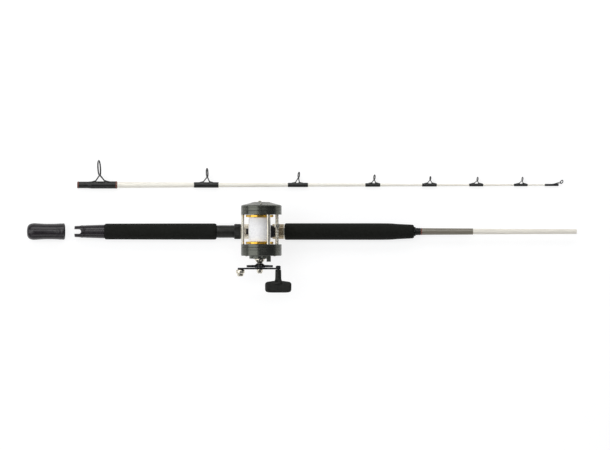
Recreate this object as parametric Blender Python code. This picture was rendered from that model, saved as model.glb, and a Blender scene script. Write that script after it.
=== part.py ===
"""A two-piece boat rod with a level-wind reel, taken apart and laid flat. Metres, +Z up.

The butt section lies along +X with the reel standing on it and the crank towards -Y. The tip
section lies beside it, with its guides towards +Y. The butt cap lies in line with the gimbal.
The origin is under the middle of the whole layout, at the surface that it lies on.
Lengths below are in millimetres and turn to metres where a shape is made.
"""

import math

import bmesh
import bpy
from mathutils import Matrix, Vector

MM = 0.001
GAP = 0.3          # clearance between a piece and its neighbour
BORE_GAP = 0.15    # clearance of a tube on what it slides over
ROUND = 24         # sides of a large turned piece
SMALL = 16         # sides of a small turned piece

# Butt section, from the open end of the gimbal along the rod
CAP_GAP, CAP_LENGTH = 21.0, 77.5
CAP_CLEARANCE, CAP_WALL, CAP_FLARE = 0.4, 1.5, 1.2
GIMBAL_LENGTH, GIMBAL_END, GIMBAL_ROOT = 61.7, 12.3, 13.7
CAP_BORE = GIMBAL_ROOT + CAP_CLEARANCE
CAP_WAIST = CAP_BORE + CAP_WALL
CAP_MOUTH = CAP_WAIST + CAP_FLARE
GIMBAL_BORE, GIMBAL_BORE_DEPTH = 8.8, 34.0
SLOT_WIDTH, SLOT_DEPTH = 9.3, 14.0
REAR_GRIP_LENGTH, REAR_GRIP_START, REAR_GRIP_END = 232.0, 15.7, 16.5
SEAT_LENGTH, SEAT_RADIUS = 140.4, 13.4
SLIDE_RADIUS = SEAT_RADIUS + GAP          # bore of what slides on the seat, and the foot's underside
NUT_FROM_SEAT, NUT_LENGTH, NUT_WALL = 36.0, 14.0, 2.0
NUT_RADIUS = SLIDE_RADIUS + NUT_WALL
REAR_HOOD_LENGTH, FRONT_HOOD_LENGTH, HOOD_WALL, HOOD_TRAVEL = 21.5, 25.0, 1.9, 14.0
HOOD_RADIUS = SLIDE_RADIUS + HOOD_WALL
GRIP_RIM = 1.6               # the foregrip's edge above the front hood
FLOOR_RADIUS = HOOD_RADIUS + GRIP_RIM      # the foregrip's radius, and the height of the rod's axis
FOREGRIP_LENGTH, FOREGRIP_STRAIGHT, FOREGRIP_END = 268.0, 208.0, 13.1
BLANK_START, BLANK_LENGTH = 40.0, 1000.0
BLANK_HANDLE, BLANK_TAPER_END, BLANK_TIP = 6.3, 5.2, 4.7
CHECK_LENGTH, CHECK_RADIUS = 13.7, BLANK_HANDLE + 1.3
TRIM_LENGTH, TRIM_RADIUS = 2.4, BLANK_HANDLE + 1.2
SLEEVE_LENGTH, SLEEVE_START, SLEEVE_END_WALL = 105.0, BLANK_HANDLE + 0.9, 0.6
BLANK_TAPER = 116.0          # from the end of the handle to the parallel stretch
BLANK_WALL = 1.5
NUT_PITCH = 3.0              # travel of the sliding hood for one turn of the nut

# Reel, in its own frame: the spool's axis is y, which points to the palm side
REEL_FROM_SEAT, REEL_SIDE = 89.7, 4.4
SPOOL_HEIGHT = 57.8          # from the rod's axis to the spool's
FRAME_HALF = 30.5            # half the distance between the side plates
SPOOL_RADIUS, SPOOL_ARBOR, SPOOL_SIDE_GAP = 28.5, 9.0, 0.6
SPOOL_HALF = FRAME_HALF - SPOOL_SIDE_GAP
PLATE_RIM, PLATE_OFFSET = 13.2, 3.5          # the plates' width round the spool, and their offset
LEFT_PLATE, RIGHT_PLATE = 7.4, 5.5
LEFT_COVER, RIGHT_COVER, DOME = 10.4, 17.7, 7.8
COVER_WALL = 2.2
REAR_PILLAR_RADIUS, TOP_PILLAR_RADIUS, PILLAR_EDGE = 3.4, 4.0, 0.3
TOP_PILLAR_TURN = 66.4
WORM_FROM_SPOOL, WORM_RISE = 7.2, 4.0
WORM = (SPOOL_RADIUS + WORM_FROM_SPOOL - PLATE_OFFSET, WORM_RISE)      # from the middle of the plates
WORM_RADIUS = 3.4
GUIDE_BAR_DROP, GUIDE_BAR_RADIUS = 8.5, 1.2
FLANGE, LINE_RADIUS = 5.0, 22.8
SHAFT_RADIUS, SHAFT_END_RADIUS = 2.5, 1.8
BEARING_RADIUS, BEARING_WIDTH = 5.5, 3.4
LEVER_PIVOT, LEVER_TIP = (8.0, 22.0), (19.0, 25.0)
LEVER_THICK, TAB_DEPTH = 3.4, 8.2
LINE_GUIDE_SIDE, LINE_GUIDE_WIDTH, LINE_GUIDE_WALL = 7.8, 8.0, 1.9
LEG_LENGTH, LEG_WIDTH, LEG_THICK = 74.0, 16.0, 2.4
PEDESTAL_BACK, PEDESTAL_FRONT, PEDESTAL_TOP = -15.0, 17.0, 5.0
BRIDGE_BACK, BRIDGE_FRONT, BRIDGE_RISE, BRIDGE_THICK = -12.0, 15.0, 0.6, 4.0
BUTTON_DROP, BUTTON_TRAVEL, BUTTON_STEM, BUTTON_HEAD = 13.2, 4.5, 1.7, 3.9

# Gears. The winding gears' module makes their train reach from the spool to the worm
DRIVE_MODULE, DRIVE_TEETH, PINION_TEETH = 0.9, 31, 9
SPOOL_TEETH, IDLER_TEETH, WORM_TEETH = 8, 30, 12
WORM_SPAN = math.hypot(PLATE_OFFSET + WORM[0], WORM[1])
WIND_MODULE = 1.002 * WORM_SPAN / (SPOOL_TEETH / 2 + IDLER_TEETH + WORM_TEETH / 2)
WORM_GEAR_REACH = math.hypot(*WORM) + WIND_MODULE * (WORM_TEETH / 2 + 1)
PLATE_RADIUS = max(SPOOL_RADIUS + PLATE_RIM, WORM_GEAR_REACH + GAP + COVER_WALL)
REAR_PILLAR_REACH = PLATE_RADIUS - REAR_PILLAR_RADIUS - PILLAR_EDGE
TOP_PILLAR_REACH = PLATE_RADIUS - TOP_PILLAR_RADIUS - PILLAR_EDGE
WIND_GEAR_GAP, WIND_GEAR_WIDTH, WIND_BEARING_GAP = 0.6, 3.2, 3.4
DRIVE_GEAR_GAP, DRIVE_GEAR_WIDTH = 2.8, 3.4
PINION_GAP, PINION_WIDTH, NECK_RADIUS, NECK_FLANGE, NECK_RIM = 1.4, 5.2, 2.8, 3.9, 0.6
YOKE_THICK, YOKE_HALF, YOKE_LOW, YOKE_HIGH = 1.5, 13.0, -3.0, 5.8
YOKE_PINS, YOKE_PIN_RADIUS, YOKE_PIN_RISE = (-10.0, 10.0), 1.2, 1.5
WASHER_STEP, WASHER_RADIUS, DISC_RADIUS = 0.8, 10.5, 9.8

# Crank and handle, as distances from the middle of the spool towards -y
BOSS_RADIUS, BOSS_DEPTH = 21.7, 6.2
BELL_RADIUS, BELL_DEPTH = 10.0, 7.0
CRANK_SHAFT = 3.0
STAR_RADIUS, STAR_ARMS, STAR_THICK, STAR_HUB = 28.5, 5, 3.6, 12.2
STAR_DEPTH = 11.0
ARM_THICK, ARM_HUB = 3.4, 8.0
KNOB_REACH, WEIGHT_REACH = 38.0, 40.0
NUT_DEPTH, NUT_ACROSS = 8.6, 6.4
WEIGHT_RADIUS, WEIGHT_DEPTH = 9.2, 14.5
KNOB_STEM, KNOB_STEM_LENGTH = 6.2, 26.0
KNOB_LENGTH, KNOB_DEPTH, KNOB_THICK = 54.5, 21.4, 15.0
SPINDLE_RADIUS, SPINDLE_HEAD = 2.2, 5.2

# Tip section, from its open end along the section
TIP_START, TIP_SIDE, TIP_LENGTH = 4.6, 96.7, 1001.0
SOCKET_DEPTH, SOCKET_GAP, SOCKET_WALL = 70.0, 0.2, 1.3
TIP_BUTT = BLANK_TIP + SOCKET_GAP + SOCKET_WALL
TIP_MIDDLE, TIP_END, TIP_MIDDLE_AT = 3.6, 1.6, 478.0          # the blank's other radii
FERRULE_LENGTH, FERRULE_START, FERRULE_RADIUS = 83.0, TIP_BUTT + 0.4, TIP_BUTT + 1.4
WIRE_FOOT = 1.2
WRAP_WALL = 0.55
#         along, height, ring outside radius, wire, back foot, front foot, wrap from, wrap to
GUIDES = (
    (46.0, 36.0, 17.4, 1.25, -8.6, 13.0, 0.0, 0.0),
    (269.5, 25.9, 10.5, 1.00, -8.7, 5.6, 242.0, 293.0),
    (459.5, 21.4, 7.0, 0.85, -7.5, 1.5, 436.8, 478.5),
    (616.5, 16.4, 6.1, 0.80, -5.8, 3.0, 597.7, 628.6),
    (732.6, 14.5, 4.6, 0.70, -6.0, 4.0, 715.4, 746.1),
    (830.6, 12.9, 4.7, 0.65, -7.0, 2.5, 813.4, 842.6),
    (923.8, 12.9, 4.5, 0.60, -6.8, 2.0, 906.2, 934.8),
)
GUIDE_TURN = 14.0            # degrees that the first ring is turned on its foot
TIP_TUBE, TIP_TUBE_LENGTH = 2.3, 33.0
TIP_RING, TIP_RING_WIRE, TIP_RING_RISE = 4.6, 0.7, 6.2

# Places that follow from the sizes above
REAR_GRIP_X = GIMBAL_LENGTH + GAP
SEAT_X = REAR_GRIP_X + REAR_GRIP_LENGTH + GAP
FOREGRIP_X = SEAT_X + SEAT_LENGTH + GAP
CHECK_X = FOREGRIP_X + FOREGRIP_LENGTH + GAP
TRIM_X = CHECK_X + CHECK_LENGTH + GAP
SLEEVE_X = TRIM_X + TRIM_LENGTH + GAP
BLANK_END = BLANK_START + BLANK_LENGTH
CAP_MOUTH_X = -CAP_GAP
CAP_CLOSED_X = CAP_MOUTH_X - CAP_LENGTH
REEL_X = SEAT_X + REEL_FROM_SEAT
CRANK_DROP = DRIVE_MODULE * (DRIVE_TEETH + PINION_TEETH) / 2
LEFT_PLATE_OUT, RIGHT_PLATE_OUT = FRAME_HALF + LEFT_PLATE, -FRAME_HALF - RIGHT_PLATE
RIGHT_FACE = RIGHT_PLATE_OUT - GAP - RIGHT_COVER     # outside of the handle-side cover
COVER_FLOOR = RIGHT_FACE + COVER_WALL
DRIVE_GEAR_Y = RIGHT_PLATE_OUT - DRIVE_GEAR_GAP - DRIVE_GEAR_WIDTH
PINION_Y = RIGHT_PLATE_OUT - PINION_GAP - PINION_WIDTH
YOKE_Y = PINION_Y - GAP - YOKE_THICK
WIND_GEAR_Y = LEFT_PLATE_OUT + WIND_GEAR_GAP
LEFT_BEARING_Y = WIND_GEAR_Y + WIND_GEAR_WIDTH + WIND_BEARING_GAP
RIGHT_BEARING_Y = COVER_FLOOR + 0.2
BOSS_FACE = RIGHT_FACE - BOSS_DEPTH
BELL_FACE = BOSS_FACE - BELL_DEPTH
STAR_FACE = BELL_FACE - GAP - STAR_DEPTH
ARM_FACE = STAR_FACE - GAP
ARM_OUT = ARM_FACE - ARM_THICK
KNOB_FACE = ARM_OUT - GAP
KNOB_OUT = KNOB_FACE - KNOB_STEM_LENGTH - KNOB_DEPTH
# The tip section lies on its ferrule wrap, its first ring and the ring of its tip top
TIP_ROLL = math.asin((GUIDES[0][2] - FERRULE_RADIUS) / GUIDES[0][1])
TIP_END_HEIGHT = TIP_RING - TIP_RING_RISE * math.sin(TIP_ROLL)
TIP_SLOPE = math.atan2(FERRULE_RADIUS - TIP_END_HEIGHT, TIP_LENGTH - FERRULE_LENGTH)
TIP_Z = FERRULE_RADIUS + FERRULE_LENGTH * math.sin(TIP_SLOPE)
GUIDE_TOP_Y = TIP_SIDE + GUIDES[0][1] * math.cos(TIP_ROLL) + GUIDES[0][2]
ORIGIN_X = (CAP_CLOSED_X + BLANK_END) / 2
ORIGIN_Y = (REEL_SIDE + KNOB_OUT + GUIDE_TOP_Y) / 2

for old in list(bpy.data.objects):
    bpy.data.objects.remove(old, do_unlink=True)


def finish(colour, roughness, metallic=0.0):
    """A plain material from a hex colour."""
    material = bpy.data.materials.new("finish_" + colour)
    material.use_nodes = True
    shader = material.node_tree.nodes["Principled BSDF"]
    red, green, blue = (int(colour[i:i + 2], 16) / 255 for i in (0, 2, 4))
    shader.inputs["Base Color"].default_value = (red**2.2, green**2.2, blue**2.2, 1)
    shader.inputs["Roughness"].default_value = roughness
    shader.inputs["Metallic"].default_value = metallic
    return material


FOAM = finish("1b1c18", 0.9)
RUBBER = finish("3a393c", 0.6)
GRAPHITE = finish("34353a", 0.5)
SEAT_DARK = finish("33342f", 0.5)
CHAMPAGNE = finish("a89a84", 0.3, 0.9)
SLEEVE_GREY = finish("7b776b", 0.45)
IVORY = finish("f1f0e8", 0.25)
WRAP_BLACK = finish("1a1b17", 0.25)
GUIDE_BLACK = finish("2d2f31", 0.3, 0.8)
GUNMETAL = finish("3b3e3c", 0.35, 0.6)
STEEL = finish("c9c6ba", 0.3, 1.0)
GOLD = finish("e0ac30", 0.3, 1.0)
LINE = finish("d9d9d6", 0.4)
BRASS = finish("b08d4a", 0.35, 1.0)
BLACK_METAL = finish("26272a", 0.35, 0.8)
KNOB_BLACK = finish("2a2b28", 0.7)
TRIM_RED = finish("6a3a2c", 0.4)
WASHER = finish("4c4a46", 0.8)


def empty(name, parent, place, turn=(0, 0, 0)):
    """A frame that pieces are placed in."""
    frame = bpy.data.objects.new(name, None)
    bpy.context.scene.collection.objects.link(frame)
    frame.parent = parent
    frame.location = Vector(place) * MM
    frame.rotation_euler = turn
    return frame


def make(name, bm, parent, material, place=(0, 0, 0)):
    """Turns a finished bmesh into a named object in its parent's frame."""
    bmesh.ops.remove_doubles(bm, verts=bm.verts, dist=1e-7)
    bmesh.ops.recalc_face_normals(bm, faces=bm.faces)
    mesh = bpy.data.meshes.new(name)
    bm.to_mesh(mesh)
    bm.free()
    mesh.shade_smooth()
    mesh.set_sharp_from_angle(angle=math.radians(35))
    if material:
        mesh.materials.append(material)
    piece = bpy.data.objects.new(name, mesh)
    bpy.context.scene.collection.objects.link(piece)
    piece.parent = parent
    piece.location = Vector(place) * MM
    return piece


def turned(name, profile, parent, material, axis="X", sides=ROUND, place=(0, 0, 0)):
    """A turned piece: the profile's points are (along the axis, radius). It closes on itself where
    both its ends stand off the axis, which leaves a bore."""
    bm = bmesh.new()
    along = Vector((1, 0, 0)) if axis == "X" else Vector((0, 1, 0))
    verts = [bm.verts.new((along * t + Vector((0, 0, r))) * MM) for t, r in profile]
    edges = [bm.edges.new(pair) for pair in zip(verts, verts[1:])]
    if profile[0][1] > 0:
        edges.append(bm.edges.new((verts[-1], verts[0])))
    bmesh.ops.spin(bm, geom=verts + edges, cent=(0, 0, 0), axis=along, dvec=(0, 0, 0),
                   angle=2 * math.pi, steps=sides, use_merge=True)
    return make(name, bm, parent, material, place)


def prism(name, outer, low, high, parent, material, axis="Y", holes=(), place=(0, 0, 0)):
    """A flat outline, with any holes, extruded along an axis. Outlines are (x, z) along y, or
    (y, z) along x."""
    bm = bmesh.new()
    edges = []
    for loop in (outer, *holes):
        if axis == "Y":
            verts = [bm.verts.new(Vector((a, low, b)) * MM) for a, b in loop]
        else:
            verts = [bm.verts.new(Vector((low, a, b)) * MM) for a, b in loop]
        edges += [bm.edges.new((verts[i - 1], verts[i])) for i in range(len(verts))]
    bmesh.ops.triangle_fill(bm, use_beauty=True, edges=edges)
    raised = bmesh.ops.extrude_face_region(bm, geom=bm.faces[:])["geom"]
    along = Vector((0, 1, 0)) if axis == "Y" else Vector((1, 0, 0))
    bmesh.ops.translate(bm, verts=[v for v in raised if isinstance(v, bmesh.types.BMVert)],
                        vec=along * (high - low) * MM)
    return make(name, bm, parent, material, place)


def circle(radius, sides=SMALL, centre=(0, 0), start=0.0):
    """Points round a circle."""
    turn = 2 * math.pi / sides
    return [(centre[0] + radius * math.cos(start + turn * i),
             centre[1] + radius * math.sin(start + turn * i)) for i in range(sides)]


def arc(radius, first, last, steps, centre=(0, 0)):
    """Points along an arc, in degrees, with both ends."""
    turns = [math.radians(first + (last - first) * i / steps) for i in range(steps + 1)]
    return [(centre[0] + radius * math.cos(t), centre[1] + radius * math.sin(t)) for t in turns]


def box(name, low, high, parent, material=None):
    """A box between two corners."""
    bm = bmesh.new()
    low, high = Vector(low) * MM, Vector(high) * MM
    size = high - low
    bmesh.ops.create_cube(bm, size=1, matrix=Matrix.Translation((low + high) / 2)
                          @ Matrix.Diagonal((*size, 1)))
    return make(name, bm, parent, material)


def bar(name, start, end, radius, parent, sides=6):
    """A round bar between two points."""
    bm = bmesh.new()
    start, end = Vector(start) * MM, Vector(end) * MM
    turn = (end - start).to_track_quat("Z", "Y").to_matrix().to_4x4()
    bmesh.ops.create_cone(bm, cap_ends=True, segments=sides, radius1=radius * MM,
                          radius2=radius * MM, depth=(end - start).length,
                          matrix=Matrix.Translation((start + end) / 2) @ turn)
    return make(name, bm, parent, None)


def boolean(piece, tool, operation, solver="EXACT"):
    """Joins a helper solid to a piece or cuts it away, and hides the helper. Thin wires that cross
    at shallow angles take the MANIFOLD solver, because EXACT leaves their union open."""
    change = piece.modifiers.new(tool.name, "BOOLEAN")
    change.operation = operation
    change.solver = solver
    change.object = tool
    tool.hide_render = True
    tool.display_type = "WIRE"
    tool.name = "helper_" + tool.name


def cylinder(low, high, radius, parent, axis="Y", place=(0, 0, 0), sides=SMALL):
    """A helper cylinder along an axis."""
    profile = ((low, 0), (low, radius), (high, radius), (high, 0))
    return turned("cylinder", profile, parent, None, axis, sides, place)


def gear_outline(teeth, module, phase):
    """Teeth with straight flanks, thinner than their gaps so that a pair runs with play."""
    pitch = 2 * math.pi / teeth
    radius = teeth * module / 2
    root, tip = radius - 1.1 * module, radius + 0.8 * module
    root_half, tip_half = 0.24 * pitch, 0.09 * pitch
    points = []
    for tooth in range(teeth):
        middle = phase + tooth * pitch
        for r, turn in ((root, -root_half), (tip, -tip_half), (tip, tip_half), (root, root_half)):
            points.append((r * math.cos(middle + turn), r * math.sin(middle + turn)))
    return points


def meshed_phase(phase, teeth, centre, other_teeth, other_centre):
    """The phase that puts another gear's gap on this gear's tooth along their line of centres."""
    line = math.atan2(other_centre[1] - centre[1], other_centre[0] - centre[0])
    part = (line - phase) / (2 * math.pi / teeth) % 1
    return line + math.pi - (0.5 - part) * 2 * math.pi / other_teeth


layout = empty("fishing_rod_and_reel", None, (-ORIGIN_X, -ORIGIN_Y, FLOOR_RADIUS))
butt = empty("butt_section", layout, (0, 0, 0))
reel = empty("reel", butt, (REEL_X, REEL_SIDE, SPOOL_HEIGHT))
crank = empty("crank_axis", reel, (0, 0, -CRANK_DROP))
tip = empty("tip_section", layout, (TIP_START, TIP_SIDE, TIP_Z - FLOOR_RADIUS),
            (TIP_ROLL, TIP_SLOPE, 0))


# Butt cap: a rubber cup that pushes over the gimbal
def butt_cap():
    frame = empty("butt_cap_frame", butt, (CAP_MOUTH_X, 0, 0))
    bore, depth = CAP_BORE, GIMBAL_LENGTH + 2
    outside = [(-CAP_LENGTH, 0), (-CAP_LENGTH, 9.0), (-CAP_LENGTH + 2.5, 14.2),
               (-CAP_LENGTH + 8, FLOOR_RADIUS - 0.3), (-CAP_LENGTH + 16, FLOOR_RADIUS),
               (-CAP_LENGTH + 28, CAP_WAIST + 0.5), (-CAP_LENGTH / 2 + 2, CAP_WAIST),
               (-14, CAP_WAIST + 0.4), (-4, CAP_MOUTH), (-1, CAP_MOUTH - 0.2), (0, CAP_MOUTH - 0.8)]
    inside = [(0, bore + 0.3), (-1, bore), (-depth, bore), (-depth, 0)]
    turned("butt_cap", outside + inside, frame, RUBBER)


butt_cap()


# Gimbal: an end fitting whose crossed slots seat on the pin of a rod holder
def gimbal():
    end = GIMBAL_END
    profile = [(0, GIMBAL_BORE), (0, end - 0.8), (0.8, end), (17, end + 0.6), (17.6, end + 0.1),
               (23.7, end + 0.2), (24.3, end + 0.8), (GIMBAL_LENGTH, GIMBAL_ROOT),
               (GIMBAL_LENGTH, BLANK_HANDLE + BORE_GAP), (GIMBAL_BORE_DEPTH, BLANK_HANDLE + BORE_GAP),
               (GIMBAL_BORE_DEPTH, GIMBAL_BORE)]
    piece = turned("gimbal", profile, butt, GRAPHITE)
    half = SLOT_WIDTH / 2
    slot = [(-2, -half)] + arc(half, -90, 90, 6, (SLOT_DEPTH - half, 0)) + [(-2, half)]
    across = prism("slot_across", slot, -20, 20, butt, None)
    upright = prism("slot_upright", slot, -20, 20, butt, None)
    upright.rotation_euler = (math.pi / 2, 0, 0)
    boolean(piece, across, "DIFFERENCE")
    boolean(piece, upright, "DIFFERENCE")


gimbal()


# Grips: foam tubes on the blank, with rounded ends
def grip(name, start, length, radii, parent):
    """A foam tube from outline radii at shares of its length, with rounded ends."""
    first, last = radii[0][1], radii[-1][1]
    outline = [(start, first - 2.6), (start + 0.9, first - 0.9), (start + 3, first)]
    outline += [(start + share * length, r) for share, r in radii[1:-1]]
    end = start + length
    outline += [(end - 4, last), (end - 1.2, last - 1.2), (end, last - 3.2)]
    bore = BLANK_HANDLE + BORE_GAP
    turned(name, outline + [(end, bore), (start, bore)], parent, FOAM)


grip("rear_grip", REAR_GRIP_X, REAR_GRIP_LENGTH,
     ((0, REAR_GRIP_START), (0.35, REAR_GRIP_START + 0.2), (0.7, REAR_GRIP_END), (1, REAR_GRIP_END)), butt)
grip("foregrip", FOREGRIP_X, FOREGRIP_LENGTH,
     ((0, FLOOR_RADIUS), (FOREGRIP_STRAIGHT / FOREGRIP_LENGTH, FLOOR_RADIUS),
      (0.9, FOREGRIP_END + 1.5), (1, FOREGRIP_END)), butt)


# Reel seat: a tube with a thread, a nut and a sliding hood behind the reel's foot, and a fixed hood
def hood_outlines():
    """The outside of a hood with its raised top, and the hole for the seat and the reel's leg."""
    shoulder = LEG_WIDTH / 2 + GAP + HOOD_WALL
    top = SLIDE_RADIUS + LEG_THICK + GAP + HOOD_WALL
    start = math.degrees(math.acos(shoulder / HOOD_RADIUS))
    outer = arc(HOOD_RADIUS, 180 - start, 360 + start, 20) + [(shoulder - 1, top), (1 - shoulder, top)]
    bore = SLIDE_RADIUS
    side = LEG_WIDTH / 2 + GAP
    start = math.degrees(math.acos(side / bore))
    inner = arc(bore, 180 - start, 360 + start, 18)
    inner += [(side, bore + LEG_THICK + GAP), (-side, bore + LEG_THICK + GAP)]
    return outer, inner


def reel_seat():
    bore = BLANK_HANDLE + BORE_GAP
    end = SEAT_X + SEAT_LENGTH
    turned("reel_seat", [(SEAT_X, SEAT_RADIUS - 0.4), (SEAT_X + 0.4, SEAT_RADIUS), (end, SEAT_RADIUS),
                         (end, bore), (SEAT_X, bore)], butt, SEAT_DARK)
    nut = SEAT_X + NUT_FROM_SEAT
    hole = SLIDE_RADIUS
    turned("lock_nut", [(nut, NUT_RADIUS - 0.8), (nut + 0.8, NUT_RADIUS),
                        (nut + NUT_LENGTH - 0.8, NUT_RADIUS), (nut + NUT_LENGTH, NUT_RADIUS - 0.8),
                        (nut + NUT_LENGTH, hole), (nut, hole)], butt, SEAT_DARK)
    outer, inner = hood_outlines()
    rear = nut + NUT_LENGTH + GAP
    prism("rear_hood", outer, rear, rear + REAR_HOOD_LENGTH, butt, CHAMPAGNE, "X", (inner,))
    prism("front_hood", outer, end - FRONT_HOOD_LENGTH, end, butt, CHAMPAGNE, "X", (inner,))


reel_seat()


# Collars and the blank
def blank_and_collars():
    def blank_radius(x):
        taper_end = SLEEVE_X + BLANK_TAPER
        if x <= SLEEVE_X:
            return BLANK_HANDLE
        if x <= taper_end:
            return BLANK_HANDLE + (BLANK_TAPER_END - BLANK_HANDLE) * (x - SLEEVE_X) / BLANK_TAPER
        return BLANK_TAPER_END + (BLANK_TIP - BLANK_TAPER_END) * (x - taper_end) / (BLANK_END - taper_end)

    bore = BLANK_HANDLE + BORE_GAP
    end = CHECK_X + CHECK_LENGTH
    turned("winding_check", [(CHECK_X, CHECK_RADIUS + 2.2), (CHECK_X + 2.2, CHECK_RADIUS + 2.0),
                             (CHECK_X + 4, CHECK_RADIUS), (end - 1, CHECK_RADIUS - 0.2),
                             (end, CHECK_RADIUS - 0.5), (end, bore), (CHECK_X, bore)],
           butt, WRAP_BLACK, sides=SMALL)
    turned("trim_ring", [(TRIM_X, TRIM_RADIUS - 0.3), (TRIM_X + TRIM_LENGTH / 2, TRIM_RADIUS),
                         (TRIM_X + TRIM_LENGTH, TRIM_RADIUS - 0.3), (TRIM_X + TRIM_LENGTH, bore),
                         (TRIM_X, bore)], butt, TRIM_RED, sides=SMALL)
    end = SLEEVE_X + SLEEVE_LENGTH
    last = blank_radius(end) + SLEEVE_END_WALL
    turned("blank_sleeve", [(SLEEVE_X, SLEEVE_START), (end - 1, last),
                            (end, last - 0.2), (end, blank_radius(end) + BORE_GAP),
                            (SLEEVE_X, bore)], butt, SLEEVE_GREY, sides=SMALL)
    taper_end = SLEEVE_X + BLANK_TAPER
    inside = [(BLANK_END - 6, 0), (BLANK_END - 6, BLANK_TIP - BLANK_WALL),
              (taper_end, BLANK_TAPER_END - BLANK_WALL), (SLEEVE_X, BLANK_HANDLE - BLANK_WALL),
              (BLANK_START, BLANK_HANDLE - BLANK_WALL)]
    outside = [(BLANK_START, BLANK_HANDLE), (SLEEVE_X, BLANK_HANDLE), (taper_end, BLANK_TAPER_END),
               (BLANK_END - 0.6, BLANK_TIP), (BLANK_END, BLANK_TIP - 0.5), (BLANK_END, 0)]
    turned("butt_blank", inside + outside, butt, IVORY, sides=SMALL)


blank_and_collars()


# Reel frame: two plates, two pillars and the foot
def reel_frame():
    middle = (PLATE_OFFSET, 0)
    worm = (PLATE_OFFSET + WORM[0], WORM[1])
    hole = circle(WORM_RADIUS + GAP, 12, worm)
    left_holes = (circle(SHAFT_RADIUS + 2.0, 16), hole)
    right_holes = (circle(6.2, 16), hole, circle(CRANK_SHAFT + GAP, 16, (0, -CRANK_DROP)))
    prism("left_frame_plate", circle(PLATE_RADIUS, 40, middle), FRAME_HALF, FRAME_HALF + LEFT_PLATE,
          reel, GUNMETAL, holes=left_holes)
    prism("right_frame_plate", circle(PLATE_RADIUS, 40, middle), -FRAME_HALF - RIGHT_PLATE, -FRAME_HALF,
          reel, GUNMETAL, holes=right_holes)
    turn = math.radians(TOP_PILLAR_TURN)
    top_place = (TOP_PILLAR_REACH * math.cos(turn), TOP_PILLAR_REACH * math.sin(turn))
    for name, (x, z), radius in (("rear_pillar", (-REAR_PILLAR_REACH, 0), REAR_PILLAR_RADIUS),
                                 ("top_pillar", top_place, TOP_PILLAR_RADIUS),
                                 ("guide_bar", (WORM[0], WORM[1] - GUIDE_BAR_DROP), GUIDE_BAR_RADIUS)):
        turned(name, ((-FRAME_HALF, 0), (-FRAME_HALF, radius), (FRAME_HALF, radius), (FRAME_HALF, 0)),
               reel, STEEL, "Y", 16, (PLATE_OFFSET + x, 0, z))


def reel_foot():
    """A leg along the seat and a bridge across it that joins the two plates."""
    under = SLIDE_RADIUS - SPOOL_HEIGHT
    back = SEAT_X + NUT_FROM_SEAT + NUT_LENGTH + GAP + REAR_HOOD_LENGTH - HOOD_TRAVEL - REEL_X
    half = LEG_WIDTH / 2
    leg = box("reel_foot", (back, -half - REEL_SIDE, under),
              (back + LEG_LENGTH, half - REEL_SIDE, under + LEG_THICK), reel, BLACK_METAL)
    pedestal = box("pedestal", (PEDESTAL_BACK, -half - REEL_SIDE, under + 0.4),
                   (PEDESTAL_FRONT, half - REEL_SIDE, under + PEDESTAL_TOP), reel)
    bridge_low = under + LEG_THICK + BRIDGE_RISE
    bridge = box("bridge", (BRIDGE_BACK, -FRAME_HALF, bridge_low),
                 (BRIDGE_FRONT, FRAME_HALF, bridge_low + BRIDGE_THICK), reel)
    boolean(leg, pedestal, "UNION")
    boolean(leg, bridge, "UNION")


reel_frame()
reel_foot()


# Spool, its shaft and bearings, and the line wound on it
def spool():
    bore = SHAFT_RADIUS + 0.05
    inner = SPOOL_HALF - FLANGE
    half = [(0, SPOOL_ARBOR), (inner + 1.6, SPOOL_ARBOR + 0.4), (inner, LINE_RADIUS + 1.4),
            (inner + 0.4, SPOOL_RADIUS - 0.8), (inner + 1.2, SPOOL_RADIUS), (SPOOL_HALF, SPOOL_RADIUS - 0.3),
            (SPOOL_HALF, SPOOL_RADIUS - 3.5), (SPOOL_HALF - 1.6, 11.0), (SPOOL_HALF, 8.5),
            (SPOOL_HALF, bore)]
    profile = [(-y, r) for y, r in reversed(half[1:])] + half[1:]
    turned("spool", profile, reel, GOLD, "Y", 32)
    inner -= 0.3
    turned("line_pack", [(-inner, LINE_RADIUS - 0.9), (-inner + 4, LINE_RADIUS), (inner - 4, LINE_RADIUS),
                         (inner, LINE_RADIUS - 0.9), (inner, SPOOL_ARBOR + 0.75),
                         (-inner, SPOOL_ARBOR + 0.75)], reel, LINE, "Y", 32)
    step_left, step_right = LEFT_PLATE_OUT - 0.4, RIGHT_PLATE_OUT - 0.5
    end = LEFT_BEARING_Y + BEARING_WIDTH + 0.6
    turned("spool_shaft", [(RIGHT_BEARING_Y, 0), (RIGHT_BEARING_Y, SHAFT_END_RADIUS),
                           (step_right, SHAFT_END_RADIUS), (step_right, SHAFT_RADIUS),
                           (step_left, SHAFT_RADIUS), (step_left, SHAFT_END_RADIUS),
                           (end, SHAFT_END_RADIUS), (end, 0)], reel, STEEL, "Y", 12)
    for name, start in (("left_bearing", LEFT_BEARING_Y), ("right_bearing", RIGHT_BEARING_Y)):
        turned(name, [(start, BEARING_RADIUS), (start + BEARING_WIDTH, BEARING_RADIUS),
                      (start + BEARING_WIDTH, SHAFT_END_RADIUS + 0.1), (start, SHAFT_END_RADIUS + 0.1)],
               reel, STEEL, "Y", SMALL)


spool()


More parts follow.
